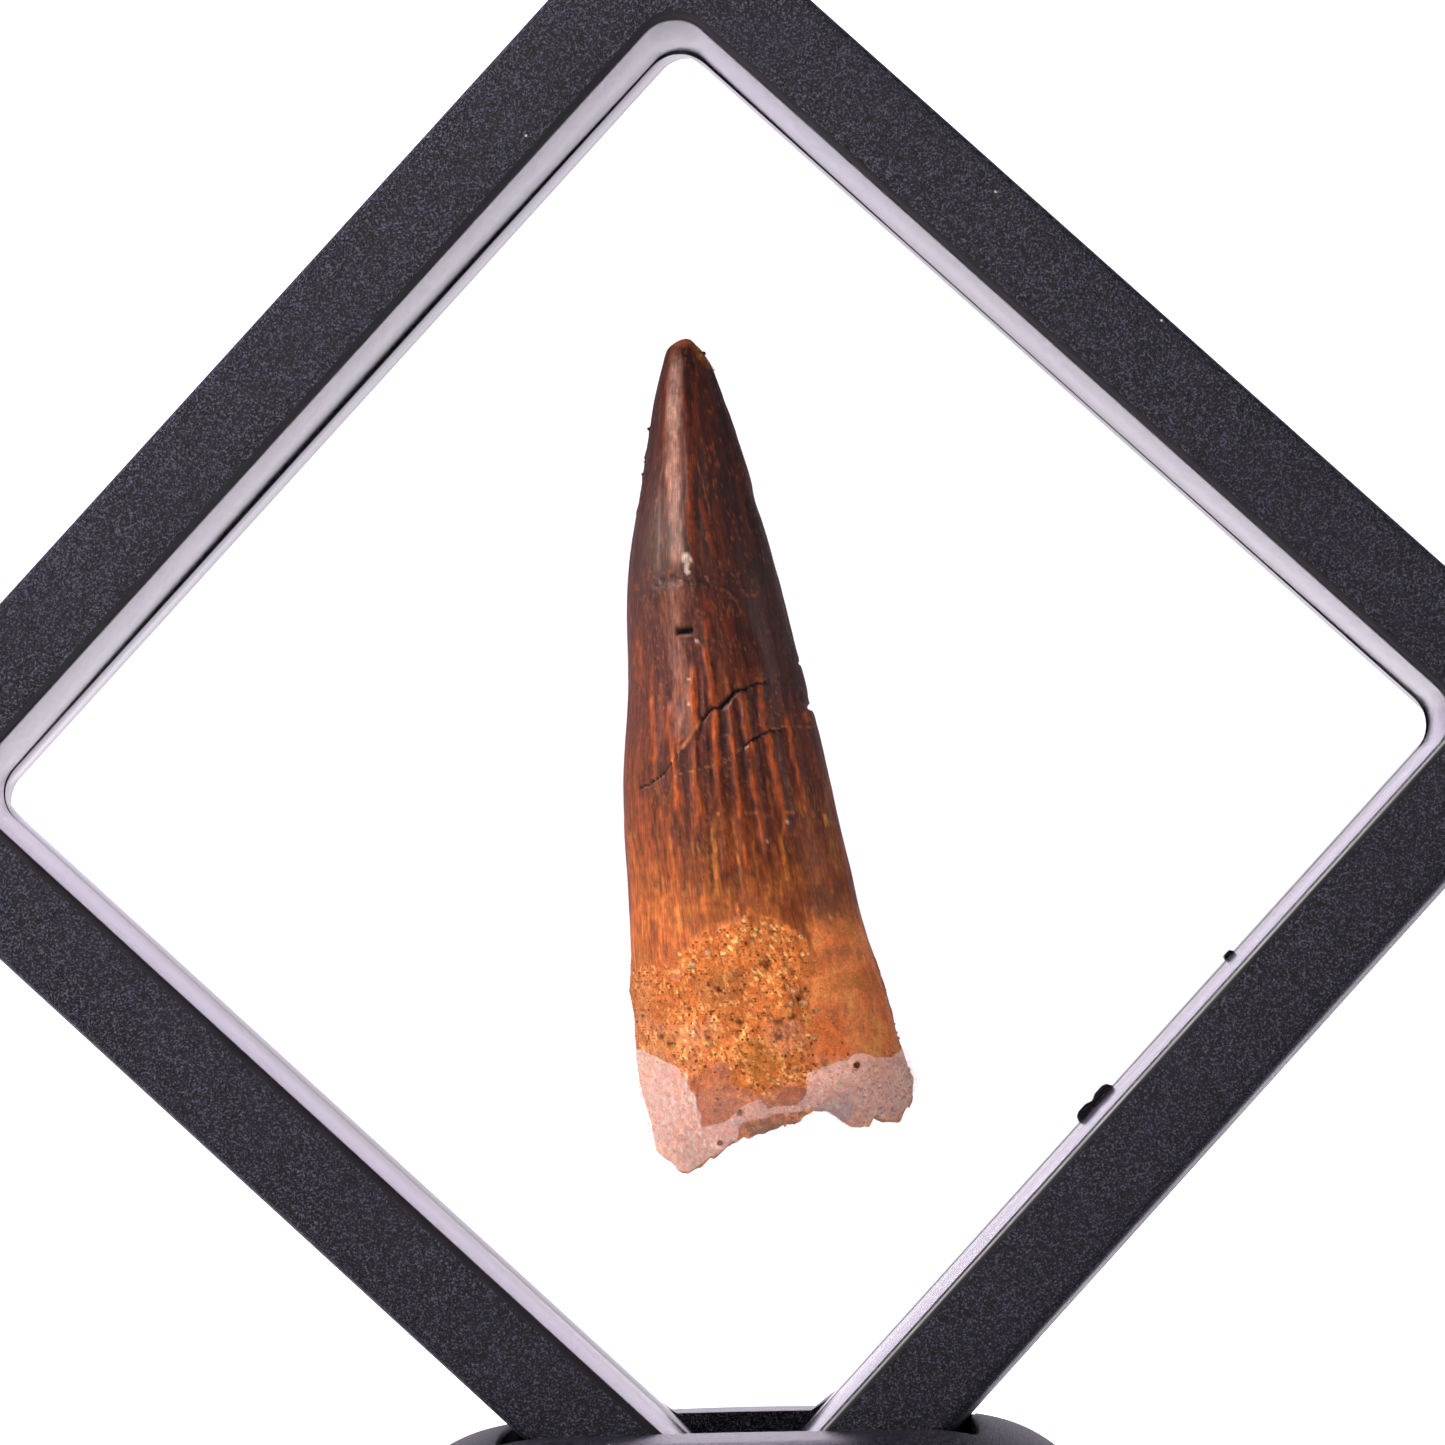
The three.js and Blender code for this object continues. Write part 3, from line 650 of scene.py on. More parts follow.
FRONT_COLUMNS = 270
ORANGE, RED, PLUM, GOLD = (194, 96, 32), (96, 26, 12), (64, 32, 38), (214, 140, 62)
DUSK, RUST, TAN = (58, 32, 38), (148, 64, 22), (200, 140, 78)
# colours of painted highlights, in this order: glints on the enamel, the film's bright crease over
# the matrix, and fainter glints
GLINT, SHEEN, FAINT_GLINT = (226, 220, 236), (255, 232, 226), (230, 220, 220)
MARKS = [
    # Lines on the front: half width, colour, how much of it shows, how far it stands out, and
    # x and z of each point of the line from the middle of the frame.
    # folds and grooves of the upper crown; the first three lines are painted highlight, the streak
    # of light down the left of the crest, the first also raised as a low fold
    (0.56, (184, 142, 134), 0.72, 0.05, -1.8, 29.3, -1.95, 27.2, -2.1, 25.4, -2.3, 22.9,
     -2.35, 21.1, -2.2, 19.3, -2.25, 17.4, -2.1, 15, -2.0, 13.2),
    (0.3, (176, 146, 148), 0.5, 0.02, -2.1, 26.2, -2.2, 24.6, -2.3, 22.9),
    (0.22, (176, 146, 150), 0.5, 0.02, -2.0, 20.2, -1.85, 19.2, -1.9, 18.2),
    (0.17, (116, 46, 28), 0.8, -0.03, -2.6, 28.6, -2.75, 27.3, -2.9, 25.4, -2.98, 23.6, -2.95, 22),
    (0.12, (122, 100, 92), 0.4, -0.02, -3.05, 21, -3.1, 20.4, -3.17, 18.7, -3.26, 16.9, -3.3, 15),
    (0.42, DUSK, 0.6, -0.03, -3.38, 27.4, -3.66, 25, -3.94, 22.5, -4.22, 20, -4.5, 18.2),
    (0.5, (82, 68, 58), 0.55, -0.02, -3.45, 18.1, -3.7, 16.3, -3.8, 14.5, -3.15, 13.2),
    (0.16, RED, 0.8, -0.03, -1.3, 29.5, -1.24, 27.8, -1.22, 26, -1.22, 24.5, -1.25, 22.9),
    (0.25, RUST, 0.9, 0.03, -0.68, 28.4, -0.6, 26.8, -0.56, 25.3, -0.62, 23.5, -0.86, 21.6,
     -1.08, 19.8, -1.13, 18, -1.1, 16.4, -0.95, 14.7, -0.85, 13),
    (0.22, RUST, 0.7, 0.04, -0.46, 18.7, -0.3, 17.6, -0.03, 16.4, 0.36, 15, 0.6, 14),
    (0.2, (66, 42, 42), 0.7, -0.03, -0.56, 24, -0.46, 22.2, -0.26, 20.4, -0.1, 19, 0.29, 17.3),
    (0.4, (112, 58, 46), 0.6, 0.05, 0.31, 27.2, 0.4, 24.7, 0.6, 22.2, 0.8, 19.8),
    (0.42, DUSK, 0.7, -0.04, 0.68, 28.9, 0.95, 27.3, 1.22, 24.7, 1.59, 21.6, 1.73, 19.2, 1.69, 16.7,
     1.78, 15.1, 2.22, 13.7),
    (0.5, (112, 56, 42), 0.6, 0.03, 2.25, 23.6, 2.68, 21.8, 2.9, 19.9, 3.11, 18),
    (0.3, (60, 40, 44), 0.55, -0.04, 2.0, 17.5, 2.15, 15.6, 2.6, 13.8, 3.0, 12.4),
    (0.34, RUST, 0.7, 0.04, -0.18, 11.3, -0.16, 9.5, 0, 8.3),
    (0.4, RUST, 0.6, 0.03, 1.1, 10.1, 1.5, 8.9, 1.75, 7.6),
    (0.5, (124, 76, 62), 0.5, 0.03, -2.9, 12, -2.7, 10, -2.5, 8.3),
    (0.06, TAN, 0.5, 0.02, -0.6, 21.1, -0.26, 20, -0.1, 19, 0.23, 17.8, 0.28, 17.2),
    # painted highlight: a grey streak of light left of the middle, raised a little
    (0.66, (170, 124, 116), 0.62, 0.05, -2.05, 13.4, -2.2, 11, -2.25, 8.3, -2.17, 6.7, -2, 5.2,
     -1.92, 3.7, -2.05, 2.1, -2.3, 0.9),
    # orange ridges of the middle and the dark grooves between them
    (0.18, ORANGE, 0.65, 0.06, -4.15, 4.6, -4.07, 2.65, -4.04, 1.2, -4, -0.6),
    (0.2, ORANGE, 0.7, 0.08, -2.92, 4.2, -2.88, 2.2, -2.76, 0.3, -2.63, -0.9, -2.5, -2.4,
     -2.55, -4.2),
    (0.25, ORANGE, 1, 0.13, -1.15, 6.8, -1.18, 4.9, -1.11, 3.6, -1.08, 2.5, -1.3, 1.6),
    (0.18, ORANGE, 0.6, 0.08, -1.27, 0.9, -1.15, -1.2, -1.03, -2.5, -0.96, -4, -0.95, -6),
    (0.24, ORANGE, 1, 0.13, -0.2, 8.2, -0.18, 6.7, 0, 5.6, 0.14, 4.6, 0.32, 3.6, 0.35, 2.5, 0.37, 1,
     0.39, -0.5, 0.51, -2),
    (0.22, (150, 72, 30), 0.65, 0.08, 0.45, -1.2, 0.51, -2, 0.67, -3.5, 0.84, -5, 0.91, -7, 1, -9),
    (0.19, ORANGE, 0.95, 0.11, 1.18, 6.2, 1.31, 5.1, 1.44, 4, 1.46, 2.4, 1.53, 1, 1.7, -0.5,
     1.82, -2, 1.94, -3.6, 2.06, -4.9, 2.22, -6.6, 2.4, -8.6),
    (0.25, ORANGE, 1, 0.13, 2.05, 6.3, 2.16, 4.8, 2.34, 3.9, 2.43, 2.8, 2.56, 1.8, 2.78, 0.6,
     2.86, -0.6, 2.98, -1.9, 3.1, -3, 3.33, -4.4, 3.54, -6.1, 3.7, -8),
    (0.23, ORANGE, 0.95, 0.12, 3.35, 6.8, 3.54, 5.5, 3.66, 4.3, 3.79, 3.3, 3.92, 2.2, 4.1, 1,
     4.28, 0, 4.55, -1.3, 4.73, -2.4, 4.9, -3.7, 5.07, -5, 5.34, -6.5),
    (0.19, ORANGE, 0.7, 0.09, 5.24, 3, 5.52, 1.8, 5.69, 0.4, 5.91, -0.9, 6.14, -2.1, 6.41, -3.4,
     6.7, -4.6),
    (0.2, ORANGE, 0.7, 0.03, 6.6, 3.1, 6.9, 2.3),
    (0.13, RED, 0.8, -0.06, -0.72, 6.6, -0.68, 4.9, -0.62, 3.6, -0.6, 2.2, -0.8, 1.2, -0.75, -1),
    (0.12, RED, 0.7, -0.06, -0.3, 6, -0.2, 4.6, -0.08, 3.4, -0.06, 2, -0.02, 0, 0.08, -2),
    (0.26, (60, 26, 20), 0.8, -0.1, 0.75, 4, 0.84, 2, 0.91, 0.5, 1.08, -1, 1.3, -2.8),
    (0.13, RED, 0.85, -0.07, 3.2, 4.2, 3.47, 2.4, 3.7, 1, 3.96, -0.6, 4.23, -2, 4.51, -3.6),
    (0.13, PLUM, 0.8, -0.07, 2.0, 4.4, 2.1, 2.6, 2.3, 0.8, 2.42, -1, 2.6, -3),
    (0.2, PLUM, 0.7, -0.06, 3.0, 4.6, 3.1, 3, 3.3, 1.2, 3.55, -0.6, 3.8, -2.6, 4.1, -4.6),
    (0.35, PLUM, 0.65, -0.06, 4.7, 3.6, 4.95, 1.6, 5.2, -0.4, 5.5, -2.6, 5.8, -5),
    (0.24, PLUM, 0.5, -0.05, -3.5, 3.6, -3.42, 1.6, -3.4, 0, -3.3, -1.8),
    (0.3, PLUM, 0.6, -0.06, -1.9, 2.4, -1.86, 0.6, -1.8, -1.4, -1.7, -3.6),
    (0.2, (90, 52, 34), 0.6, -0.06, -2.3, -4.4, -2.14, -6.5, -1.97, -8, -2, -10.6),
    (0.16, (84, 46, 32), 0.55, -0.05, -0.35, -2, -0.25, -4.5, -0.1, -7, -0.05, -10),
    (0.22, (64, 32, 22), 0.7, -0.06, 2.85, -3, 3.05, -4.6, 3.24, -6.1, 3.36, -7.4),
    (0.3, (84, 48, 42), 0.5, -0.05, 6.7, 0.5, 7.1, -2, 7.5, -5, 7.9, -8),
    (0.24, (96, 52, 36), 0.5, -0.05, 4.1, -6, 4.3, -8, 4.5, -10.6),
    (0.18, (88, 50, 34), 0.5, -0.05, 1.5, -6, 1.6, -8, 1.75, -10.8),
    # gold dust in the lower grooves
    (0.2, GOLD, 0.6, 0, 0.2, -4.2, 0.07, -5.5, 0.09, -7.2, 0.4, -9.4, 0.6, -10.8),
    (0.1, GOLD, 0.8, 0, 1.42, -4.3, 1.63, -5.9, 1.75, -7.1, 2, -9),
    (0.1, GOLD, 0.8, 0, 2.8, -6, 2.95, -7.6, 3.25, -9.6),
    (0.16, GOLD, 0.7, 0, 4.75, -5.6, 4.85, -6.6, 5, -7.7, 5.35, -9.4),
    (0.12, (216, 156, 84), 0.8, 0, 7.9, -4.2, 8.05, -5.3),
    (0.22, (150, 104, 58), 0.55, 0, 8.05, -1.4, 8.2, -4, 8.35, -6.7, 8.9, -8.8),
    (0.14, GOLD, 0.6, 0, -3.08, -5.5, -2.9, -7, -2.6, -9),
    (0.36, (172, 92, 42), 0.75, 0, -5.95, -5, -5.85, -7, -5.7, -9.2, -5.6, -11.4),
    (0.6, (158, 98, 56), 0.6, 0.02, -4.1, -7.2, -4.2, -8.4, -4.3, -10),
    (0.38, (168, 94, 42), 0.65, 0.03, -0.66, -7, -0.57, -9, -0.49, -11),
    (0.3, (190, 130, 66), 0.6, 0, -2.5, -10.6, -2.7, -12, -3.0, -13.4),
    (0.5, (132, 74, 40), 0.7, 0, -4.7, -11.4, -4.6, -13.2, -4.4, -14.4),
    # tan scars, fibres and scratches
    (0.12, (196, 124, 62), 0.9, 0.04, -0.5, 2.56, -1.1, 1.94, -1.46, 1.24, -2.34, 0.21,
     -3.08, -0.76),
    (0.16, (170, 98, 44), 0.6, 0.02, -2.7, 0.9, -2.2, 1.1, -1.8, 1.5),
    (0.05, (176, 116, 60), 0.8, 0.02, -2.6, -1.4, -1.5, -1.1, -0.4, -0.9, 0.3, -0.75, 1, -0.55,
     2.22, 0.5),
    (0.05, (176, 112, 60), 0.8, 0.02, 4.3, 1.75, 5.3, 1.95, 6.53, 2.0, 7, 2.0),
    (0.045, (190, 126, 70), 0.8, 0.02, 0.3, -4.29, 1.62, -4.32, 3.38, -4.22, 3.94, -4.37,
     5.14, -4.25, 6.19, -4.19),
    (0.05, TAN, 0.7, 0.02, 0.9, 11.9, 1.48, 11.6, 2.05, 10.9, 2.33, 10.2),
    (0.05, TAN, 0.75, 0.02, 2.3, 10.1, 2.03, 9.84, 1.5, 9.78, 1.39, 10.3, 1.64, 10.8),
    (0.03, TAN, 0.5, 0.01, -0.9, 26.9, -0.72, 26.7, -0.6, 27),
    (0.06, (226, 176, 140), 0.7, 0.02, 9.57, -17.93, 10.22, -17.84, 10.44, -18),
    (0.06, (226, 176, 140), 0.7, 0.02, 9.23, -18.9, 9.77, -18.75, 10.1, -18.5),
    (0.05, (220, 166, 120), 0.6, 0.02, 8.42, -16.7, 8.51, -17.36, 9.15, -17.5),
    (0.08, (206, 170, 150), 0.6, 0.02, 6.9, -14.6, 7.0, -15, 7.15, -15.4),
    (0.05, (226, 190, 150), 0.6, 0.02, 9.6, -20.6, 9.7, -21.3),
    (0.05, (216, 160, 110), 0.6, 0.02, 8.6, -20.3, 8.9, -20.8, 8.4, -21.2),
    # the next line is a painted sheen: pale light along the right edge
    (0.28, (206, 172, 160), 0.55, 0, 10.9, -15.6, 11.74, -18, 12.35, -19.6, 12.96, -21.3),
    (0.09, (140, 80, 54), 0.8, -0.06, -2.1, -23.9, -1.9, -24.8, -1.65, -25.8, -1.45, -26.3),
    # painted highlight on the film where it is pinched above the crumbled line
    (0.2, (255, 252, 255), 1.0, 0.0, -1.8, 13.95, -1.45, 14.2, -1.2, 14.05, -1.45, 13.6,
     -1.45, 13.2, -1.2, 12.9),
    # worn tip
    (0.3, (188, 104, 62), 0.85, 0, -2.35, 29.9, -1.7, 30.25, -1.15, 30.4, -0.75, 30.05),
    (0.34, (220, 140, 70), 0.95, 0.04, -0.68, 29.9, -0.26, 29.2, 0.2, 28.6, 0.62, 28),
]
BLOTS = [
    # Soft patches: x, z, half width, half height, colour, how much of it shows
    # The small white spots are painted glints, and the three narrow SHEEN patches are the painted
    # highlight of the film's crease
    (-1.5, 30.05, 0.95, 0.42, (204, 116, 70), 0.95), (-5.3, 15, 1.2, 5, (80, 52, 54), 0.4),
    (4.6, 9.5, 1.6, 4, (88, 56, 52), 0.6), (-5.4, -1, 0.8, 4, (118, 62, 42), 0.4),
    (0.1, -16.7, 1.9, 1.7, (156, 108, 60), 0.5), (2.9, -21.3, 1.5, 1.3, (196, 146, 62), 0.45),
    (-3.6, -20.4, 1.3, 1.1, (216, 150, 66), 0.5), (-5.3, -16.4, 0.7, 2, (216, 156, 100), 0.45),
    (-4.2, -18.2, 1.2, 1, (176, 100, 50), 0.4), (8.8, -12.6, 1.8, 0.5, (206, 136, 66), 0.5),
    (8.9, -14.4, 1.8, 0.8, (160, 100, 58), 0.5), (9.2, -16.4, 2, 0.8, (194, 124, 56), 0.6),
    (10, -19.4, 1.6, 1.2, (168, 104, 60), 0.5), (8.2, -18.2, 0.9, 0.9, (186, 112, 70), 0.5),
    (7.9, -10.6, 1.5, 1.2, (122, 74, 50), 0.5), (-1.45, 5.46, 0.12, 0.1, GLINT, 0.8),
    (-1.48, 3.67, 0.12, 0.1, GLINT, 0.8), (-0.82, 8.2, 0.16, 0.12, GLINT, 0.8),
    (5.26, -4.9, 0.16, 0.09, (240, 236, 240), 0.95), (3.83, -6.2, 0.07, 0.07, FAINT_GLINT, 0.9),
    (5.62, -7.95, 0.07, 0.07, FAINT_GLINT, 0.9), (2.57, 7.43, 0.08, 0.08, (220, 190, 180), 0.8),
    (3.24, 11.4, 0.2, 0.16, (160, 84, 50), 0.7), (-5.13, 12.3, 0.22, 0.3, (150, 80, 40), 0.6),
    # the next two pale patches are partly the matrix's pale colour and partly painted light on the
    # right side, which turns away from the key lamp
    (11.9, -24.2, 2.2, 2.2, (255, 198, 160), 0.95), (9.9, -22.7, 3.2, 1.2, (255, 192, 150), 0.9),
    (8.3, -25.4, 1.3, 0.8, (122, 92, 92), 0.85), (-2.25, -23.0, 0.13, 0.8, SHEEN, 0.8),
    (-1.75, -24.5, 0.12, 0.8, SHEEN, 0.8), (-1.4, -25.8, 0.12, 0.6, SHEEN, 0.8),
    (11.1, -18.2, 0.1, 1.2, (236, 190, 150), 0.6), (-4.4, -24.6, 1.6, 3.6, (196, 140, 112), 0.6),
    (3.8, -26.4, 2.6, 0.7, (124, 80, 34), 0.7), (-1.7, -28, 1.5, 1.1, (176, 136, 100), 0.5),
    (9.74, -22.16, 0.3, 0.3, (164, 84, 36), 0.9), (1.5, -25.3, 0.28, 0.26, (164, 88, 34), 0.9),
    (0, -27.4, 0.26, 0.2, (150, 80, 34), 0.9),
]
BLACK_CRACKS = [
    # half width, depth, and the line's points; each crack is cut in and painted near-black as shade
    (0.1, 0.5, -0.5, 2.56, 0.15, 3.19, 0.86, 3.46, 1.29, 3.88, 1.8, 4.44, 2.72, 4.71, 3.22, 4.99,
     4.07, 5.2),
    (0.07, 0.35, 2.22, 0.5, 2.79, 0.91, 3.36, 1.19, 3.86, 1.47, 4.35, 1.68, 5.27, 1.75, 5.83, 1.9),
    (0.05, 0.2, -5.17, -2.07, -4.57, -1.97, -3.68, -1.44, -3.08, -0.76, -2.34, 0.21),
]
# Height and colour of the enamel
ENAMEL_TONES = [
    (30.4, (118, 64, 46)), (27, (106, 56, 46)), (22, (94, 51, 46)), (16, (90, 52, 50)),
    (12, (90, 55, 53)), (8, (94, 52, 44)), (4, (97, 46, 32)), (0, (100, 48, 29)),
    (-4, (114, 56, 29)), (-8, (140, 77, 38)), (-11, (172, 102, 54)), (-13, (176, 104, 54)),
]
PITS_LINE = pairs(
    -3.61, 12.52, -2.95, 12.55, -1.66, 12.5, -1.09, 12.3, -0.52, 12.4, 0.2, 12.5, 0.63, 12.6)
FACET_EDGE = pairs(
    16.0, 0.4, 11.9, 1.39, 11.0, 2.15, 9.45, 2.6, 8.37, 3.08, 7.22, 3.48, 6.14, 3.74, 5.13, 3.8,
    3.0, 5.2)
CREST = pairs(
    30.4, -1.25, 28, -1.3, 24, -1.25, 20, -1.2, 16, -1.1, 12, -0.8, 8, -0.4)
SAND_TOP = pairs(
    -7, -15.6, -6, -15.2, -4.7, -14.5, -3.4, -14.4, -2.2, -13.4, -1.05, -12.6, 0.4, -11.9,
    1.8, -11.5, 3.2, -11.5, 4.6, -11.95, 5.65, -12.7, 6.4, -13.6, 7.2, -15.2, 8.0, -18.6,
    9.3, -20.6, 11, -21.2, 15, -21.2)
# x, z and radius of pits in the matrix; each is sunk and painted with shade
DARK_PITS = [
    (3.6, -15.05, 0.42), (1.55, -18.95, 0.32), (4.5, -19, 0.36), (5.2, -18.7, 0.34),
    (7.65, -21.25, 0.34), (7.65, -21.9, 0.3), (-1.9, -18.0, 0.2), (4.35, -19.9, 0.34),
    (4.96, -16.85, 0.36), (6.05, -16.9, 0.3), (5.8, -17.5, 0.34), (0.2, -16.6, 0.2),
    (-3.3, -20.3, 0.3), (-4, -19.9, 0.24), (-0.6, -19.9, 0.2), (2.2, -13.4, 0.2),
]
SMOOTH_PATCHES = [
    # x, z, half width, half height, turn
    (-0.35, -23.9, 1.6, 2.25, -0.12), (5.2, -24.2, 1.1, 0.72, 0.1), (-3.2, -13.7, 0.6, 1.2, 0.0),
]
PALE_STONES = [
    # x, z, radius
    (-1.63, -14.94, 0.3), (-0.46, -14.1, 0.24), (0.68, -14.2, 0.15), (-3.0, -17.05, 0.16),
    (2.87, -20.5, 0.15), (5.44, -17, 0.3), (5.27, -17.66, 0.26), (6.02, -17.63, 0.28),
    (6.76, -18.3, 0.2), (7.08, -18.36, 0.22), (6.88, -20.2, 0.24), (6.4, -20.1, 0.16),
    (5.42, -20.2, 0.18), (3.63, -13.35, 0.15), (7.7, -23.0, 0.22), (8.4, -23.4, 0.22),
    (1.1, -21.6, 0.12), (-4.4, -19.4, 0.12), (11.9, -17.5, 0.24), (13.2, -20.3, 0.16),
]
DARK_CRUMBS = [
    (-4.07, 23.8, 0.12), (-4.4, 21.95, 0.15), (-4.45, 21.5, 0.13), (-4.6, 20.5, 0.15),
    (-4.9, 18, 0.12), (-0.01, 29.22, 0.16),
]
TAN_CRUMBS = [
    (0.66, 28.05, 0.12), (0.3, 28.5, 0.12), (0.05, 28.8, 0.1), (0.55, 28.3, 0.09),
    (-0.4, 29.5, 0.1), (-0.2, 29.05, 0.09),
]


def section(z):
    """Middle, half width, half thickness and bend of the tooth at height z."""
    left, right = on_curve(LEFT_EDGE, z), on_curve(RIGHT_EDGE, z)
    down = (TIP_Z - z) / (TIP_Z - RIM_START)
    half = (right - left) / 2
    return ((left + right) / 2, half, half * lerp(*THICKNESS, down),
            TIP_BEND * (1 - np.minimum(down, 1))**2)


def patch(x, z, px, pz, wide, high, turn):
    """How deep a point lies in an oval patch: above 0 inside."""
    dx, dz = x - px, z - pz
    u = dx * math.cos(turn) + dz * math.sin(turn)
    v = -dx * math.sin(turn) + dz * math.cos(turn)
    return 1 - np.hypot(u / wide, v / high)


def toward(colour, rgb, amount):
    return colour + (linear(*rgb) - colour) * np.clip(amount, 0, 1)[..., None]


def power(values, exponent):
    return np.sign(values) * np.abs(values)**exponent


def tooth_side(angles, heights, rim_rows=28):
    """Points of the tooth's side, row by row from the tip down, before any relief."""
    cos, sin = np.cos(angles), np.sin(angles)
    round_x, round_y = power(cos, 2 / SECTION_POWER), power(sin, 2 / SECTION_POWER)

    def ring(z):
        mid, half, thick, bend = section(np.maximum(z, EDGES_END))
        return np.stack([mid + half * round_x, bend + thick * round_y, z], axis=-1)

    rows = [ring(np.full(len(angles), z)) for z in heights]
    # the lowest rows bend to meet the broken rim
    x = ring(np.full(len(angles), RIM_START - 2.0))[:, 0]
    back = smooth(-0.5, 0.5, sin)
    spots = np.stack([x, back * 9, x * 0], axis=1)
    ragged = 0.16 * noise(spots, 0.5, 31) + 0.5 * back * noise(spots, 2.2, 32)
    rim = on_curve(BROKEN_RIM, x) + 1.2 * back + ragged
    for t in np.arange(rim_rows + 1) / rim_rows:
        row = ring(lerp(RIM_START, rim, t))
        row[:, 1] *= 1 - 0.12 * t * t
        rows.append(row)
    return np.array(rows)


class Skin:
    """The tooth's side as a grid of points, with the colours and relief laid on it in turn.

    across goes from 0 at the left edge to 1 at the right, facing is 1 on the front and 0 on
    the back, and sand is 1 on the matrix and 0 on the enamel.
    """

    def __init__(self):
        front = np.linspace(math.pi, 2 * math.pi, FRONT_COLUMNS, endpoint=False)
        back = np.linspace(0, math.pi, 60, endpoint=False)
        self.angles = np.concatenate([front, back])
        stretches = [(TIP_Z - 0.01, 29.9, 6), (29.9, 28.9, 8), (28.9, 26, 17), (26, 13.4, 42),
                     (13.4, 11.6, 14), (11.6, 6, 26), (6, -2.4, 60), (-2.4, -11, 38),
                     (-11, RIM_START, 54)]
        heights = [np.linspace(a, b, n, endpoint=False) for a, b, n in stretches]
        self.base = tooth_side(self.angles, np.concatenate(heights))
        self.flat = self.base.reshape(-1, 3)
        self.x, self.z = x, z = self.base[..., 0], self.base[..., 2]
        self.shape = x.shape
        cos, sin = np.cos(self.angles), np.sin(self.angles)
        mid, half, thick, _ = section(np.maximum(z, EDGES_END))
        self.across = np.clip((x - (mid - half)) / (2 * half), 0, 1)
        self.facing = np.broadcast_to(smooth(0.1, -0.25, sin), self.shape)
        normal = np.array([power(cos, 2 - 2 / SECTION_POWER) / half,
                           power(sin, 2 - 2 / SECTION_POWER) / thick])
        self.normal = normal / np.hypot(*normal)

        field = self.field
        self.plain = (smooth(6.0, 7.2, x + 0.3 * field(0.8, 2, 7))
                      * smooth(-9.8, -13, z + 0.5 * field(1.2, 2, 8))
                      * smooth(-22.6, -21.6, z) * self.facing)
        sand = smooth(0.3, -0.3, z - (on_curve(SAND_TOP, x) + 0.45 * field(1.0, 3, 5)))
        behind = smooth(-12.5, -15, z + 0.8 * field(2, 2, 6)) * (1 - self.facing)
        self.sand = np.maximum(sand * self.facing, behind) * (1 - 0.8 * self.plain)
        self.leather = field((0.34, 0.34, 0.6), 3, 72)
        self.blotch = field((2.2, 2.2, 3.2), 3, 75)
        self.edges = smooth(0.16, 0.02, self.across) + smooth(0.84, 0.98, self.across)
        # distance to the nearest large and small grain, and that grain's own number
        self.near, self.own, self.fine_near, self.fine_own = (
            values.reshape(self.shape) for size, seed in ((0.36, 21), (0.2, 22))
            for values in cells(self.flat, size, seed))

    def field(self, size, octaves, seed):
        """Layered noise at the points, before any relief."""
        return layered(self.flat, size, octaves, seed).reshape(self.shape)

    def paint(self, rgb, amount, where=...):
        self.colour[where] = toward(self.colour[where], rgb, amount)

    def lay_enamel(self):
        """Enamel from plum at the top to tan where the matrix begins, with its long fibres."""
        z, blotch, paint, behind = self.z, self.blotch, self.paint, 1 - self.facing
        levels, tones = zip(*ENAMEL_TONES)
        channels = np.array([linear(*tone) for tone in tones]).T
        self.colour = np.stack([np.interp(-(z + 1.2 * blotch), [-v for v in levels], channel)
                                for channel in channels], axis=-1)
        paint((70, 42, 44), 0.55 * self.edges * smooth(-6, 6, z))
        paint((146, 78, 38), 0.45 * smooth(0.1, 0.9, blotch) * smooth(6, -6, z))
        paint((66, 38, 40), 0.5 * smooth(0.0, 0.9, -blotch) * smooth(-8, 0, z))
        ridge_back = 0.5 + 0.5 * np.cos(24 * self.angles)[None, :]
        paint((150, 78, 34), 0.6 * behind * ridge_back**3 * smooth(12, 4, z) * smooth(-12, -7, z))
        run = np.broadcast_to(6.5 * self.angles[None, :], self.shape)
        self.lie = np.stack([run, 0 * run, z], axis=-1)
        lie = self.lie.reshape(-1, 3)
        sway = 0.25 * layered(self.flat, 2.5, 2, 76)[:, None] * (1, 0, 0)
        wide_fibre = layered(lie + sway, (0.55, 1, 4.5), 3, 77).reshape(self.shape)
        fine_fibre = layered(lie, (0.24, 1, 2.2), 2, 79).reshape(self.shape)
        paint((150, 78, 36), 0.32 * smooth(0.1, 1.0, wide_fibre))
        paint((48, 24, 28), 0.42 * smooth(0.05, 0.95, -wide_fibre) * smooth(-13, -6, z))
        self.colour *= (1 + 0.16 * fine_fibre)[..., None]
        self.relief = (0.1 * behind * ridge_back * smooth(29, 24, z)
                       + 0.01 * self.field((0.3, 0.3, 1.6), 2, 11)
                       + 0.03 * self.field((1.8, 1.8, 5), 2, 15))

    def draw_marks(self):
        """Folds, ridges, grooves, dust, scars and scratches of the front."""
        x, z, field = self.x, self.z, self.field
        sway_x = 0.07 * field((0.5, 0.5, 1.1), 2, 90) + 0.03 * field((0.2, 0.2, 0.5), 1, 91)
        sway_z = 0.05 * field(0.5, 2, 92)
        patchy = field((0.5, 0.5, 1.5), 3, 93)
        for wide, rgb, much, out, *numbers in MARKS:
            xs, zs = numbers[::2], numbers[1::2]
            reach = 2.2 * wide + 0.3
            box = ((x > min(xs) - reach) & (x < max(xs) + reach)
                   & (z > min(zs) - reach) & (z < max(zs) + reach) & (self.facing > 0.3))
            d, along = off_line(x[box] + sway_x[box] * min(1, wide * 4), z[box] + sway_z[box],
                                pairs(*numbers))
            ends, uneven = 1.0, 1.0
            if wide > 0.07:
                ends = smooth(0.0, 0.1, along) * smooth(1.0, 0.9, along)
                uneven = 0.75 + 0.3 * patchy[box]
            body = smooth(1.3 * wide, 0.45 * wide, d) * ends
            self.paint(rgb, much * body * uneven, box)
            self.relief[box] += out * smooth(1.9 * wide, 0.0, d) * ends

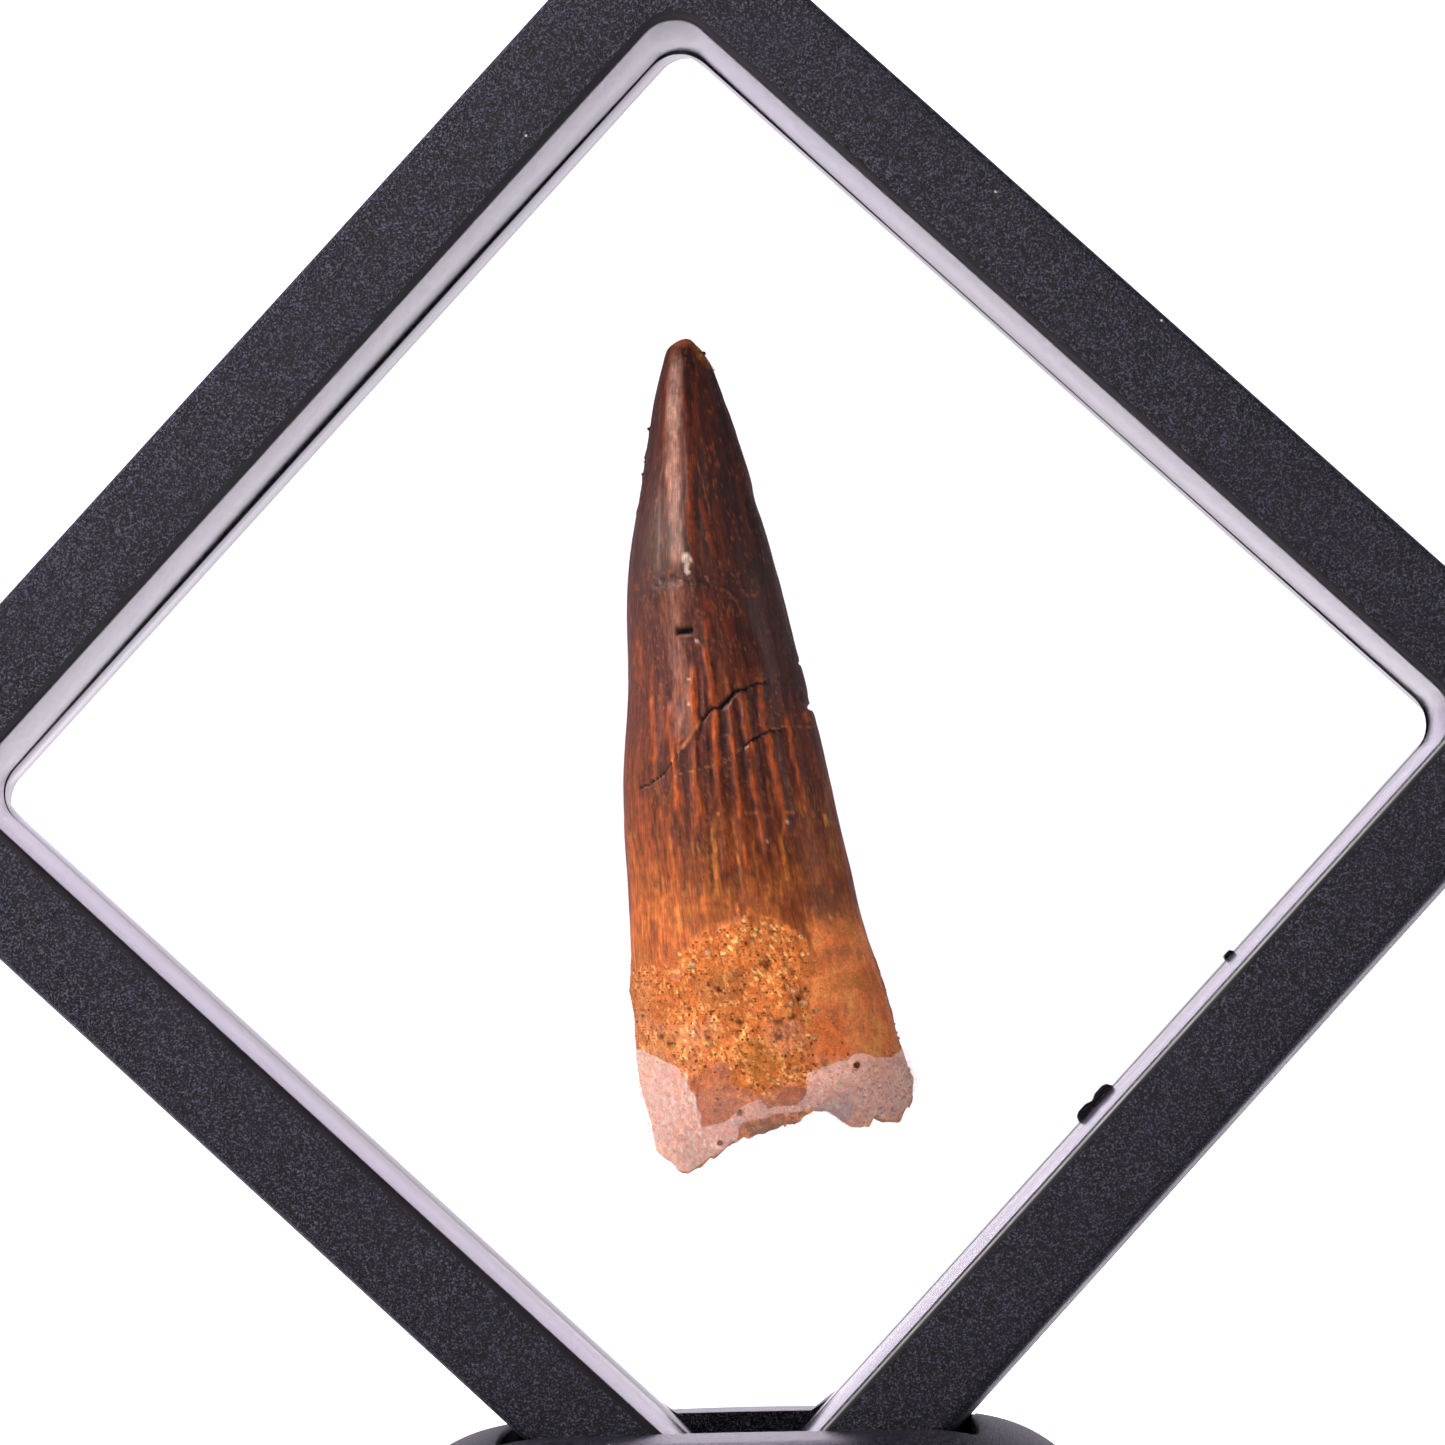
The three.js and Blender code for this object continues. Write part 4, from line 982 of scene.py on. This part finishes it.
    def lay_light(self):
        """The crest, the smooth facet right of it, and painted light and shade: darker on the upper
        right, lighter on the left and lower down, with a painted highlight band left of the crest
        near the tip.
        """
        x, z, across, facing, blotch = self.x, self.z, self.across, self.facing, self.blotch
        crest = x - on_curve(CREST, z)
        self.relief += (0.3 * smooth(-2.4, -0.2, crest) * smooth(0.7, -0.05, crest)
                        * smooth(9, 13.5, z))
        facet = np.clip(x - on_curve(FACET_EDGE, z), -2, 2)
        smooth_side = smooth(-0.05, 0.15, facet) * smooth(4.2, 5.4, z) * smooth(16, 12, z) * facing
        self.paint((84, 50, 46), 0.6 * smooth_side)
        self.relief += 0.08 * smooth(-0.08, 0.02, facet) * smooth(1.2, 0.02, facet) * smooth_side
        # painted shade and painted light, multiplied into the colour
        light = 1 - 0.42 * smooth(0.4, 0.62, across) * smooth(1, 9, z)
        light += 0.4 * smooth(0.6, 0.2, across) * smooth(13, 7, z)
        light += 0.4 * smooth(18, 23, z) * smooth(0.12, 0.25, across) * smooth(0.46, 0.34, across)
        light += 0.28 * smooth(0.2, 0.08, across) * smooth(16, 10, z) * smooth(-7, -3, z)
        light += 0.4 * smooth(0.72, 0.9, across) * smooth(5, 2, z) * smooth(-11, -6, z)
        light += 0.25 * smooth(-5, -9, z)
        self.colour *= (1 + (light - 1) * facing)[..., None]
        grain = self.field((0.14, 0.14, 0.5), 2, 71)
        self.colour *= (1 + 0.16 * grain * (1 - 0.5 * smooth_side)
                        + 0.17 * self.leather)[..., None]
        enamel = 1 - self.sand
        flecks = smooth(0.55, 0.85, self.field((0.13, 0.13, 0.6), 2, 81)) * smooth(0, -5, z)
        self.paint((204, 156, 76), 0.5 * (flecks * enamel) * facing * smooth(0.5, -0.5, blotch))
        specks = smooth(1.0, 1.2, self.field(0.2, 2, 82))
        self.paint((176, 108, 62), 0.45 * specks * enamel * facing)
        self.relief *= enamel * smooth(30.4, 29, z)

    def lay_matrix(self):
        """The matrix of many small grains, smoother where the film has rubbed it."""
        x, z, across, facing, sand = self.x, self.z, self.across, self.facing, self.sand
        near, fine, field = self.near, self.fine_near, self.field
        calm = np.zeros(self.shape)
        for spec in SMOOTH_PATCHES:
            rubbed = smooth(-0.08, 0.05, patch(x, z, *spec) + 0.1 * field(0.8, 2, 25))
            calm = np.maximum(calm, rubbed)
        self.calm = calm = calm * facing
        tone = lerp(linear(180, 100, 44), linear(212, 134, 70), self.own[..., None])
        tone[self.fine_own > 0.9] = linear(240, 186, 120)
        tone[self.fine_own < 0.08] = linear(136, 78, 36)
        # painted shade: darker away from each grain's middle, in the hollows between grains
        tone *= (1.9 - 0.56 * np.clip(near, 0, 1) - 0.29 * np.clip(fine, 0, 1))[..., None]
        tone = toward(tone, (190, 104, 44), 0.4 * smooth(-0.4, 0.6, field(3.2, 3, 85)))
        tone *= lerp(0.8, 1.0, smooth(0.05, 0.3, across))[..., None]
        tone = toward(tone, (186, 102, 46), 0.92 * calm)
        tone *= (1 + 0.12 * self.leather * calm)[..., None]
        plain = lerp(linear(166, 90, 46), linear(198, 118, 66),
                     smooth(-0.8, 0.8, self.blotch)[..., None])
        plain *= (2.1 + 0.35 * smooth(-14, -20, z) + 0.16 * self.leather)[..., None]
        plain *= (1 - 0.32 * smooth(-13.5, -11, z) * smooth(0.75, 0.95, across))[..., None]
        tone += (plain - tone) * (self.plain * 0.9)[..., None]
        self.colour += (tone - self.colour) * np.maximum(sand, self.plain)[..., None]
        for bx, bz, wide, high, rgb, much in BLOTS:
            small = wide < 0.5
            d = np.hypot((x - bx) / wide, (z - bz) / high) + (0.12 if small else 0.3) * self.leather
            amount = smooth(1.15, 0.75, d) if small else smooth(1.4, 0.3, d)
            self.paint(rgb, much * amount * facing)
        rough = 0.09 * (0.55 - near) + 0.05 * (0.5 - fine) + 0.16 * field(2.6, 3, 23)
        calm_edge = smooth(0.0, 0.12, across) * smooth(1.0, 0.86, across)
        self.relief += sand * rough * (1 - 0.9 * calm) * lerp(1, calm_edge, facing)
        self.relief += 0.2 * sand * (1 - facing) * smooth(0.1, 0.5, np.sin(self.angles))
        pit = np.zeros(self.shape)
        for px, pz, size in DARK_PITS:
            d = np.hypot(x - px, (z - pz) * 1.2) / size + 0.4 * field(0.35, 2, 27)
            pit = np.maximum(pit, smooth(1.05, 0.4, d))
        pores = 0.35 * smooth(0.85, 1.1, field(0.42, 2, 28)) * sand * (1 - calm)
        self.pit = pit = np.maximum(pit, 0.5 * pores) * facing * (1 - 0.7 * self.plain)
        self.relief -= 0.35 * pit
        # painted shade: pits and pores are darkened where they are sunk
        self.paint((90, 48, 22), 0.75 * pit)

    def break_up(self):
        """Black cracks, the square hole, the crumbled line and the chips of the edges."""
        x, z, across, facing, near = self.x, self.z, self.across, self.facing, self.near
        sway = [0.05 * self.field(0.4, 2, seed) for seed in (33, 34)]
        self.dark = np.zeros(self.shape)

        def cut_away(cut, deep):
            self.relief -= deep * cut
            self.dark = np.maximum(self.dark, cut)

        for wide, deep, *numbers in BLACK_CRACKS:
            d, along = off_line(x + sway[0], z + sway[1], pairs(*numbers))
            taper = wide * (0.3 + 0.7 * np.sin(math.pi * np.clip(0.15 + 0.8 * along, 0, 1)))
            cut_away(smooth(taper * 1.6, taper * 0.6, d) * facing, deep)
        hole = np.maximum(np.abs(x + 1.71 - 0.1 * (z - 8.9)) - 0.58,
                          np.abs(z - 8.9 - 0.14 * (x + 1.7)) - 0.17)
        cut_away(smooth(0.06, -0.04, hole) * facing, 0.6)
        d, _ = off_line(x, z, PITS_LINE)
        self.crumble = crumble = smooth(0.3, 0.08, d + 0.2 * self.field(0.35, 2, 35)) * facing
        self.relief -= 0.07 * crumble * (0.5 + near)
        # painted shade between the crumbs of the crumbled line
        self.paint((50, 28, 24), 0.65 * crumble * smooth(0.25, 0.6, near))
        self.paint((206, 160, 130), 0.45 * crumble * smooth(0.3, 0.1, near))
        # painted shade: the cracks and the square hole are painted near-black
        self.paint((9, 6, 6), self.dark)
        self.relief -= 0.3 * smooth(0.28, 0.08, np.abs(z - 3.45)) * smooth(0.93, 1.0, across)
        self.relief -= 0.15 * smooth(0.2, 0.05, np.abs(z - 6.7)) * smooth(0.95, 1.0, across)
        for pz, size in ((23.8, 0.3), (21.95, 0.4), (20.5, 0.4), (18.0, 0.3)):
            self.relief += 0.06 * smooth(size, 0.1, np.abs(z - pz)) * smooth(0.06, 0.0, across)

    def points(self):
        points = self.base.copy()
        points[..., :2] += np.moveaxis(self.normal * self.relief, 0, -1)
        return points

    def dull(self):
        return np.clip(self.sand * (1 - 0.75 * self.calm) + 0.8 * self.dark + 0.7 * self.pit
                       + 0.4 * self.crumble + 0.7 * self.edges * (1 - self.sand), 0, 1)


def tooth_mesh(skin, cap_rows=9, hollow=2.4):
    """Points, faces and layers of the tooth: its side, tip and hollow broken end."""
    side = skin.points()
    columns = side.shape[1]
    edge = side[-1]
    centre = edge.mean(axis=0)
    rings = [side.reshape(-1, 3)]
    pale, deep = linear(182, 124, 70), linear(128, 80, 42)
    cap_tint = []
    for k in range(1, cap_rows + 1):
        t = 1 - k / (cap_rows + 0.6)
        inner = lerp(centre, edge, t)
        bumpy = layered(inner, 1.6, 3, 61) * 0.35 + layered(inner, 0.5, 2, 64) * 0.12
        inner[:, 2] += (hollow * (1 - t**1.6) + bumpy) * smooth(1.0, 0.8, t)
        rings.append(inner)
        cap_tint.append(lerp(deep, pale, smooth(-0.5, 0.6, layered(inner, 0.9, 3, 66))[:, None]))
    tip = np.array([[-1.25, section(TIP_Z)[3], TIP_Z]])
    points = np.concatenate([tip, *rings, centre[None] + (0, 0, hollow)])
    points[:, 2] += CENTRE_Z
    rows = len(side) + cap_rows
    faces = [list(f + 1) for f in grid_faces(rows, columns, True)]
    faces += [[0, 1 + i, 1 + (i + 1) % columns] for i in range(columns)]
    end, last = 1 + (rows - 1) * columns, len(points) - 1
    faces += [[end + (i + 1) % columns, end + i, last] for i in range(columns)]
    extra = cap_rows * columns + 1
    tint, lie = skin.colour.reshape(-1, 3), skin.lie.reshape(-1, 3)
    tint = np.concatenate([tint[:1], tint, *cap_tint, deep[None]])
    sand = np.maximum(skin.sand, 0.75 * skin.plain).ravel()
    return points, faces, {
        "tint": np.clip(tint, 0.001, 1),
        "sand": np.concatenate([[0], sand, np.ones(extra)]),
        "dull": np.concatenate([[0.2], skin.dull().ravel(), np.ones(extra)]),
        "fibre": np.concatenate([lie[:1], lie, points[-extra:]]) * (1, 1, 0.1) * MM}


def build_grains(sand, points, material):
    """Grains that are stuck to the matrix, a few pale stones among them."""
    rng = np.random.default_rng(5)
    rows, columns = sand.shape
    flat = points[1:1 + sand.size]
    chance = (sand * (rng.random(sand.shape) < 0.5)).ravel()
    row, column = np.divmod(np.arange(sand.size), columns)
    margin = 8
    front = (column > margin) & (column < FRONT_COLUMNS - margin) & (row < rows - 2)
    area = np.where(front, 1.0, 0.15)
    pick = rng.choice(sand.size, 3000, replace=False, p=chance * area / (chance * area).sum())
    spots = flat[pick]
    sizes = 0.045 + 0.09 * rng.random(len(spots))**2.4
    # five colours of the matrix, then those of dark crumbs, tan crumbs and beads
    tones = np.array([linear(*c) for c in (
        (198, 124, 68), (212, 148, 92), (174, 102, 52), (144, 86, 46), (228, 196, 160),
        (66, 42, 42), (204, 144, 74), (166, 88, 34))])
    kinds = rng.choice(5, len(spots), p=(0.44, 0.2, 0.22, 0.1, 0.04))
    for table, kind in ((PALE_STONES, None), (DARK_CRUMBS, 5), (TAN_CRUMBS, 6), (BEADS, 7)):
        for sx, sz, size in table:
            near = np.argmin(np.hypot(flat[:, 0] - sx, flat[:, 2] - CENTRE_Z - sz)
                             + 0.02 * flat[:, 1])
            spots = np.append(spots, flat[near, None], axis=0)
            sizes = np.append(sizes, size)
            kinds = np.append(kinds, (4 if size > 0.2 else 1) if kind is None else kind)
    gold = (1 + math.sqrt(5)) / 2
    ico = np.array([(-1, gold, 0), (1, gold, 0), (-1, -gold, 0), (1, -gold, 0), (0, -1, gold),
                    (0, 1, gold), (0, -1, -gold), (0, 1, -gold), (gold, 0, -1), (gold, 0, 1),
                    (-gold, 0, -1), (-gold, 0, 1)]) / math.hypot(1, gold)
    ico_faces = np.array([(0, 11, 5), (0, 5, 1), (0, 1, 7), (0, 7, 10), (0, 10, 11), (1, 5, 9),
                          (5, 11, 4), (11, 10, 2), (10, 7, 6), (7, 1, 8), (3, 9, 4), (3, 4, 2),
                          (3, 2, 6), (3, 6, 8), (3, 8, 9), (4, 9, 5), (2, 4, 11), (6, 2, 10),
                          (8, 6, 7), (9, 8, 1)])
    count, corners = len(spots), len(ico)
    shapes = (ico[None] * rng.uniform(0.75, 1.2, (count, corners, 1))
              * rng.uniform(0.6, 1.3, (count, 1, 3)))
    body = spots[:, None] + shapes * sizes[:, None, None]
    faces = (ico_faces[None] + corners * np.arange(count)[:, None, None]).reshape(-1, 3)
    tint = np.repeat(tones[kinds] * rng.uniform(0.75, 1.15, (count, 1)), corners, axis=0)
    body = body.reshape(-1, 3)
    grains = make_piece("matrix_grains", body, faces, material, (), {
        "tint": tint, "sand": np.full(len(body), 0.4), "dull": np.full(len(body), 0.8),
        "fibre": body * MM})
    grains.data.polygons.foreach_set("use_smooth", [False] * len(grains.data.polygons))
    return body


# Film: a stretched sheet, held flat round its edge and lifted by the tooth

def film_sheet(side, solid):
    """The film between the frame halves, and how far the solid points push it out."""
    # half width of the part that is free to bulge
    free = 36.4
    cells_across = 150
    lines = np.concatenate([[-FILM_HALF], np.linspace(-free, free, cells_across + 1), [FILM_HALF]])
    count = len(lines)
    step = 2 * free / cells_across
    x, y, z = solid[:, 0], side * solid[:, 1], solid[:, 2] - CENTRE_Z
    cos, sin = math.cos(TILT), math.sin(TILT)
    u, v = x * cos + z * sin, -x * sin + z * cos
    i = np.clip(np.rint((u + free) / step).astype(int) + 1, 0, count - 1)
    j = np.clip(np.rint((v + free) / step).astype(int) + 1, 0, count - 1)
    least = np.zeros((count, count))
    clearance = 0.05
    for di, dj in product((-1, 0, 1), repeat=2):
        np.maximum.at(least, (np.clip(i + di, 0, count - 1), np.clip(j + dj, 0, count - 1)),
                      y + clearance)
    inner = slice(2, count - 2)
    least = np.maximum(least - GAP / 2, 0)
    lift = least.copy()
    a, b = np.meshgrid(np.arange(2, count - 2), np.arange(2, count - 2), indexing="ij")
    colours = [((a + b) % 2) == k for k in (0, 1)]
    over, passes = 1.9, 420
    for _ in range(passes):
        for colour in colours:
            level = (lift[1:-3, inner] + lift[3:-1, inner] + lift[inner, 1:-3]
                     + lift[inner, 3:-1]) / 4
            here = lift[inner, inner]
            moved = np.maximum(here + over * (level - here), least[inner, inner])
            lift[inner, inner] = np.where(colour, np.maximum(moved, 0), here)
    grid_u, grid_v = np.meshgrid(lines, lines, indexing="ij")
    points = np.concatenate([
        np.stack([grid_u, side * (GAP / 2 + lift + extra), grid_v], axis=-1).reshape(-1, 3)
        for extra in (0.0, FILM_THICK)])
    area = count * count
    near = grid_faces(count, count, False)
    rim = np.concatenate([
        np.arange(count), np.arange(1, count) * count + count - 1,
        (count - 1) * count + np.arange(count - 2, -1, -1), np.arange(count - 2, 0, -1) * count])
    after = np.roll(rim, -1)
    edge = np.stack([rim, rim + area, after + area, after], axis=1)
    outer = np.repeat([0.0, 1.0], area)
    return stand_up(points), np.concatenate([near, near[:, ::-1] + area, edge]), outer


def near_veil(face):
    """Whether a face of the film lies in or close to its milky area."""
    x, _, z = face.center / MM
    x0, x1, z0, z1 = VEIL_BOX
    return x0 - 1 < x < x1 + 1 and z0 - 1 < z - CENTRE_Z < z1 + 1


# Camera, light and stage

def place(name, data, right, up, back, spot):
    """Adds a camera or lamp at a spot in millimetres; the axes say how it is turned."""
    thing = bpy.data.objects.new(name, data)
    thing.matrix_world = Matrix([[right[i], up[i], back[i], spot[i] * MM] for i in range(3)]
                                + [[0, 0, 0, 1]])
    bpy.context.scene.collection.objects.link(thing)
    return thing


def rotation(first, second, angle):
    """Matrix that turns the first axis towards the second."""
    matrix = np.eye(3)
    matrix[first, first] = matrix[second, second] = math.cos(angle)
    matrix[second, first], matrix[first, second] = math.sin(angle), -math.sin(angle)
    return matrix


def build_camera():
    # fitted to the frame's edges in the photograph, whose focal length is 5600 of its pixels
    fitted = (rotation(0, 1, -0.0245903676) @ rotation(1, 2, -0.0517307337)
              @ rotation(2, 0, 0.0315514297))
    right, down, forward = fitted @ np.array([[1, 0, 0], [0, 0, -1], [0, 1, 0]])
    lens = bpy.data.cameras.new("camera")
    lens.sensor_width = 36
    lens.lens = 5600 / 1445 * lens.sensor_width
    lens.clip_start, lens.clip_end = 0.01, 50
    bpy.context.scene.camera = place("camera", lens, right, -down, -forward,
                                     (13.37, -401.08, CENTRE_Z - 18.235))


def softbox(name, centre, aim, size, power, colour=(1, 1, 1)):
    """A square area light; lengths in millimetres."""
    light = bpy.data.lights.new(name, "AREA")
    light.size = size * MM
    light.energy = power
    light.color = colour
    back = np.array(centre, dtype=float) - np.array(aim, dtype=float)
    back /= np.linalg.norm(back)
    side = np.cross((0, 0, 1), back)
    side /= np.linalg.norm(side)
    place(name, light, side, np.cross(back, side), back, centre)


def build_light():
    scene = bpy.context.scene
    scene.view_settings.view_transform = "Standard"
    m = Nodes("studio", bpy.data.worlds.new("studio"), "Background", "Generated")
    scene.world = m.owner
    # what is seen directly or through the film is pale on every side; the light that falls
    # on the object comes from behind, with a dark room in front
    path = m.add("ShaderNodeLightPath").outputs
    direct = m.math("LESS_THAN", m.math("ADD", path["Diffuse Depth"], path["Glossy Depth"]), 0.5)
    room = m.mix(direct, (0.034, 0.033, 0.04), (0.8, 0.79, 0.82))
    y = m.axes()["Y"]
    glow = m.mix(m.fit(y, 0.985, 0.996), (1.84, 1.66, 2.0), (1.24, 1.19, 1.27))
    m.set(Color=m.mix(m.fit(y, 0.72, 0.955), room, glow))
    softbox("key", (-238, -167, 320), (0, 0, 75), 190, 4.9, (1, 0.965, 0.94))
    softbox("side", (430, -70, 150), (0, 0, 50), 300, 0.75)


def build_floor():
    mesh = bpy.data.meshes.new("floor")
    half = 1500 * MM
    mesh.from_pydata([(-half, -half, 0), (half, -half, 0), (half, half, 0), (-half, half, 0)], [],
                     [(0, 1, 2, 3)])
    m = Nodes("floor_white_painted_glow")
    # the floor glows though it is no lamp: a painted pool of light close round the object that
    # fades out, a glow that grows again further out, and a bright glow behind as the white backdrop
    away = m.add("ShaderNodeVectorMath", operation="LENGTH")
    away = m.fill(away, Vector=m.place).outputs["Value"]
    near, far = m.fit(away, 0.1, 0.3, 0.38, 0.12), m.fit(away, 0.3, 0.8, 0.0, 0.42)
    behind = m.fit(m.axes()["Y"], 0.0, 0.05, 0.0, 1.85)
    mesh.materials.append(m.set(
        Base_Color=m.mix(m.noise(60.0), (0.36, 0.35, 0.38), (0.39, 0.38, 0.41)), Roughness=0.9,
        Emission_Color=(1, 0.94, 1.05, 1),
        Emission_Strength=m.math("MAXIMUM", behind, m.math("ADD", near, far))))
    floor = bpy.data.objects.new("floor", mesh)
    bpy.context.scene.collection.objects.link(floor)


build_camera()
build_light()
build_floor()

frame_black = moulded_black("frame_black", 0.15, 1.0, ((1, 1, 2), (77, 74, 94)), 0.2, 0.36, 1.23)
stand_black = moulded_black("stand_black", 0.22, 0.6, ((1, 1, 2), (68, 64, 80)), 0.36, 0.42, 1.245,
                            worn=11.0)
bone, clear, milky = fossil(), clear_film(), milky_film()

build_frame(frame_black, wall_black(), edge_black())
build_stand(stand_black, slot_black())
skin = Skin()
skin.lay_enamel()
skin.draw_marks()
skin.lay_light()
skin.lay_matrix()
skin.break_up()
tooth_points, tooth_faces, tooth_layers = tooth_mesh(skin)
make_piece("tooth_crown", tooth_points, tooth_faces, bone, ("tooth",), tooth_layers)
grain_points = build_grains(skin.sand, tooth_points, bone)
solid_points = np.concatenate([tooth_points, grain_points])
for film_side, film_name in ((-1, "front_film"), (1, "back_film")):
    sheet_points, sheet_faces, sheet_outer = film_sheet(film_side, solid_points)
    sheet = make_piece(film_name + "_sheet", sheet_points, sheet_faces, clear, (film_name,),
                       {"outer": sheet_outer}, flip=film_side < 0)
    if film_side < 0:
        paint_faces(sheet, milky, [f.index for f in sheet.data.polygons if near_veil(f)])
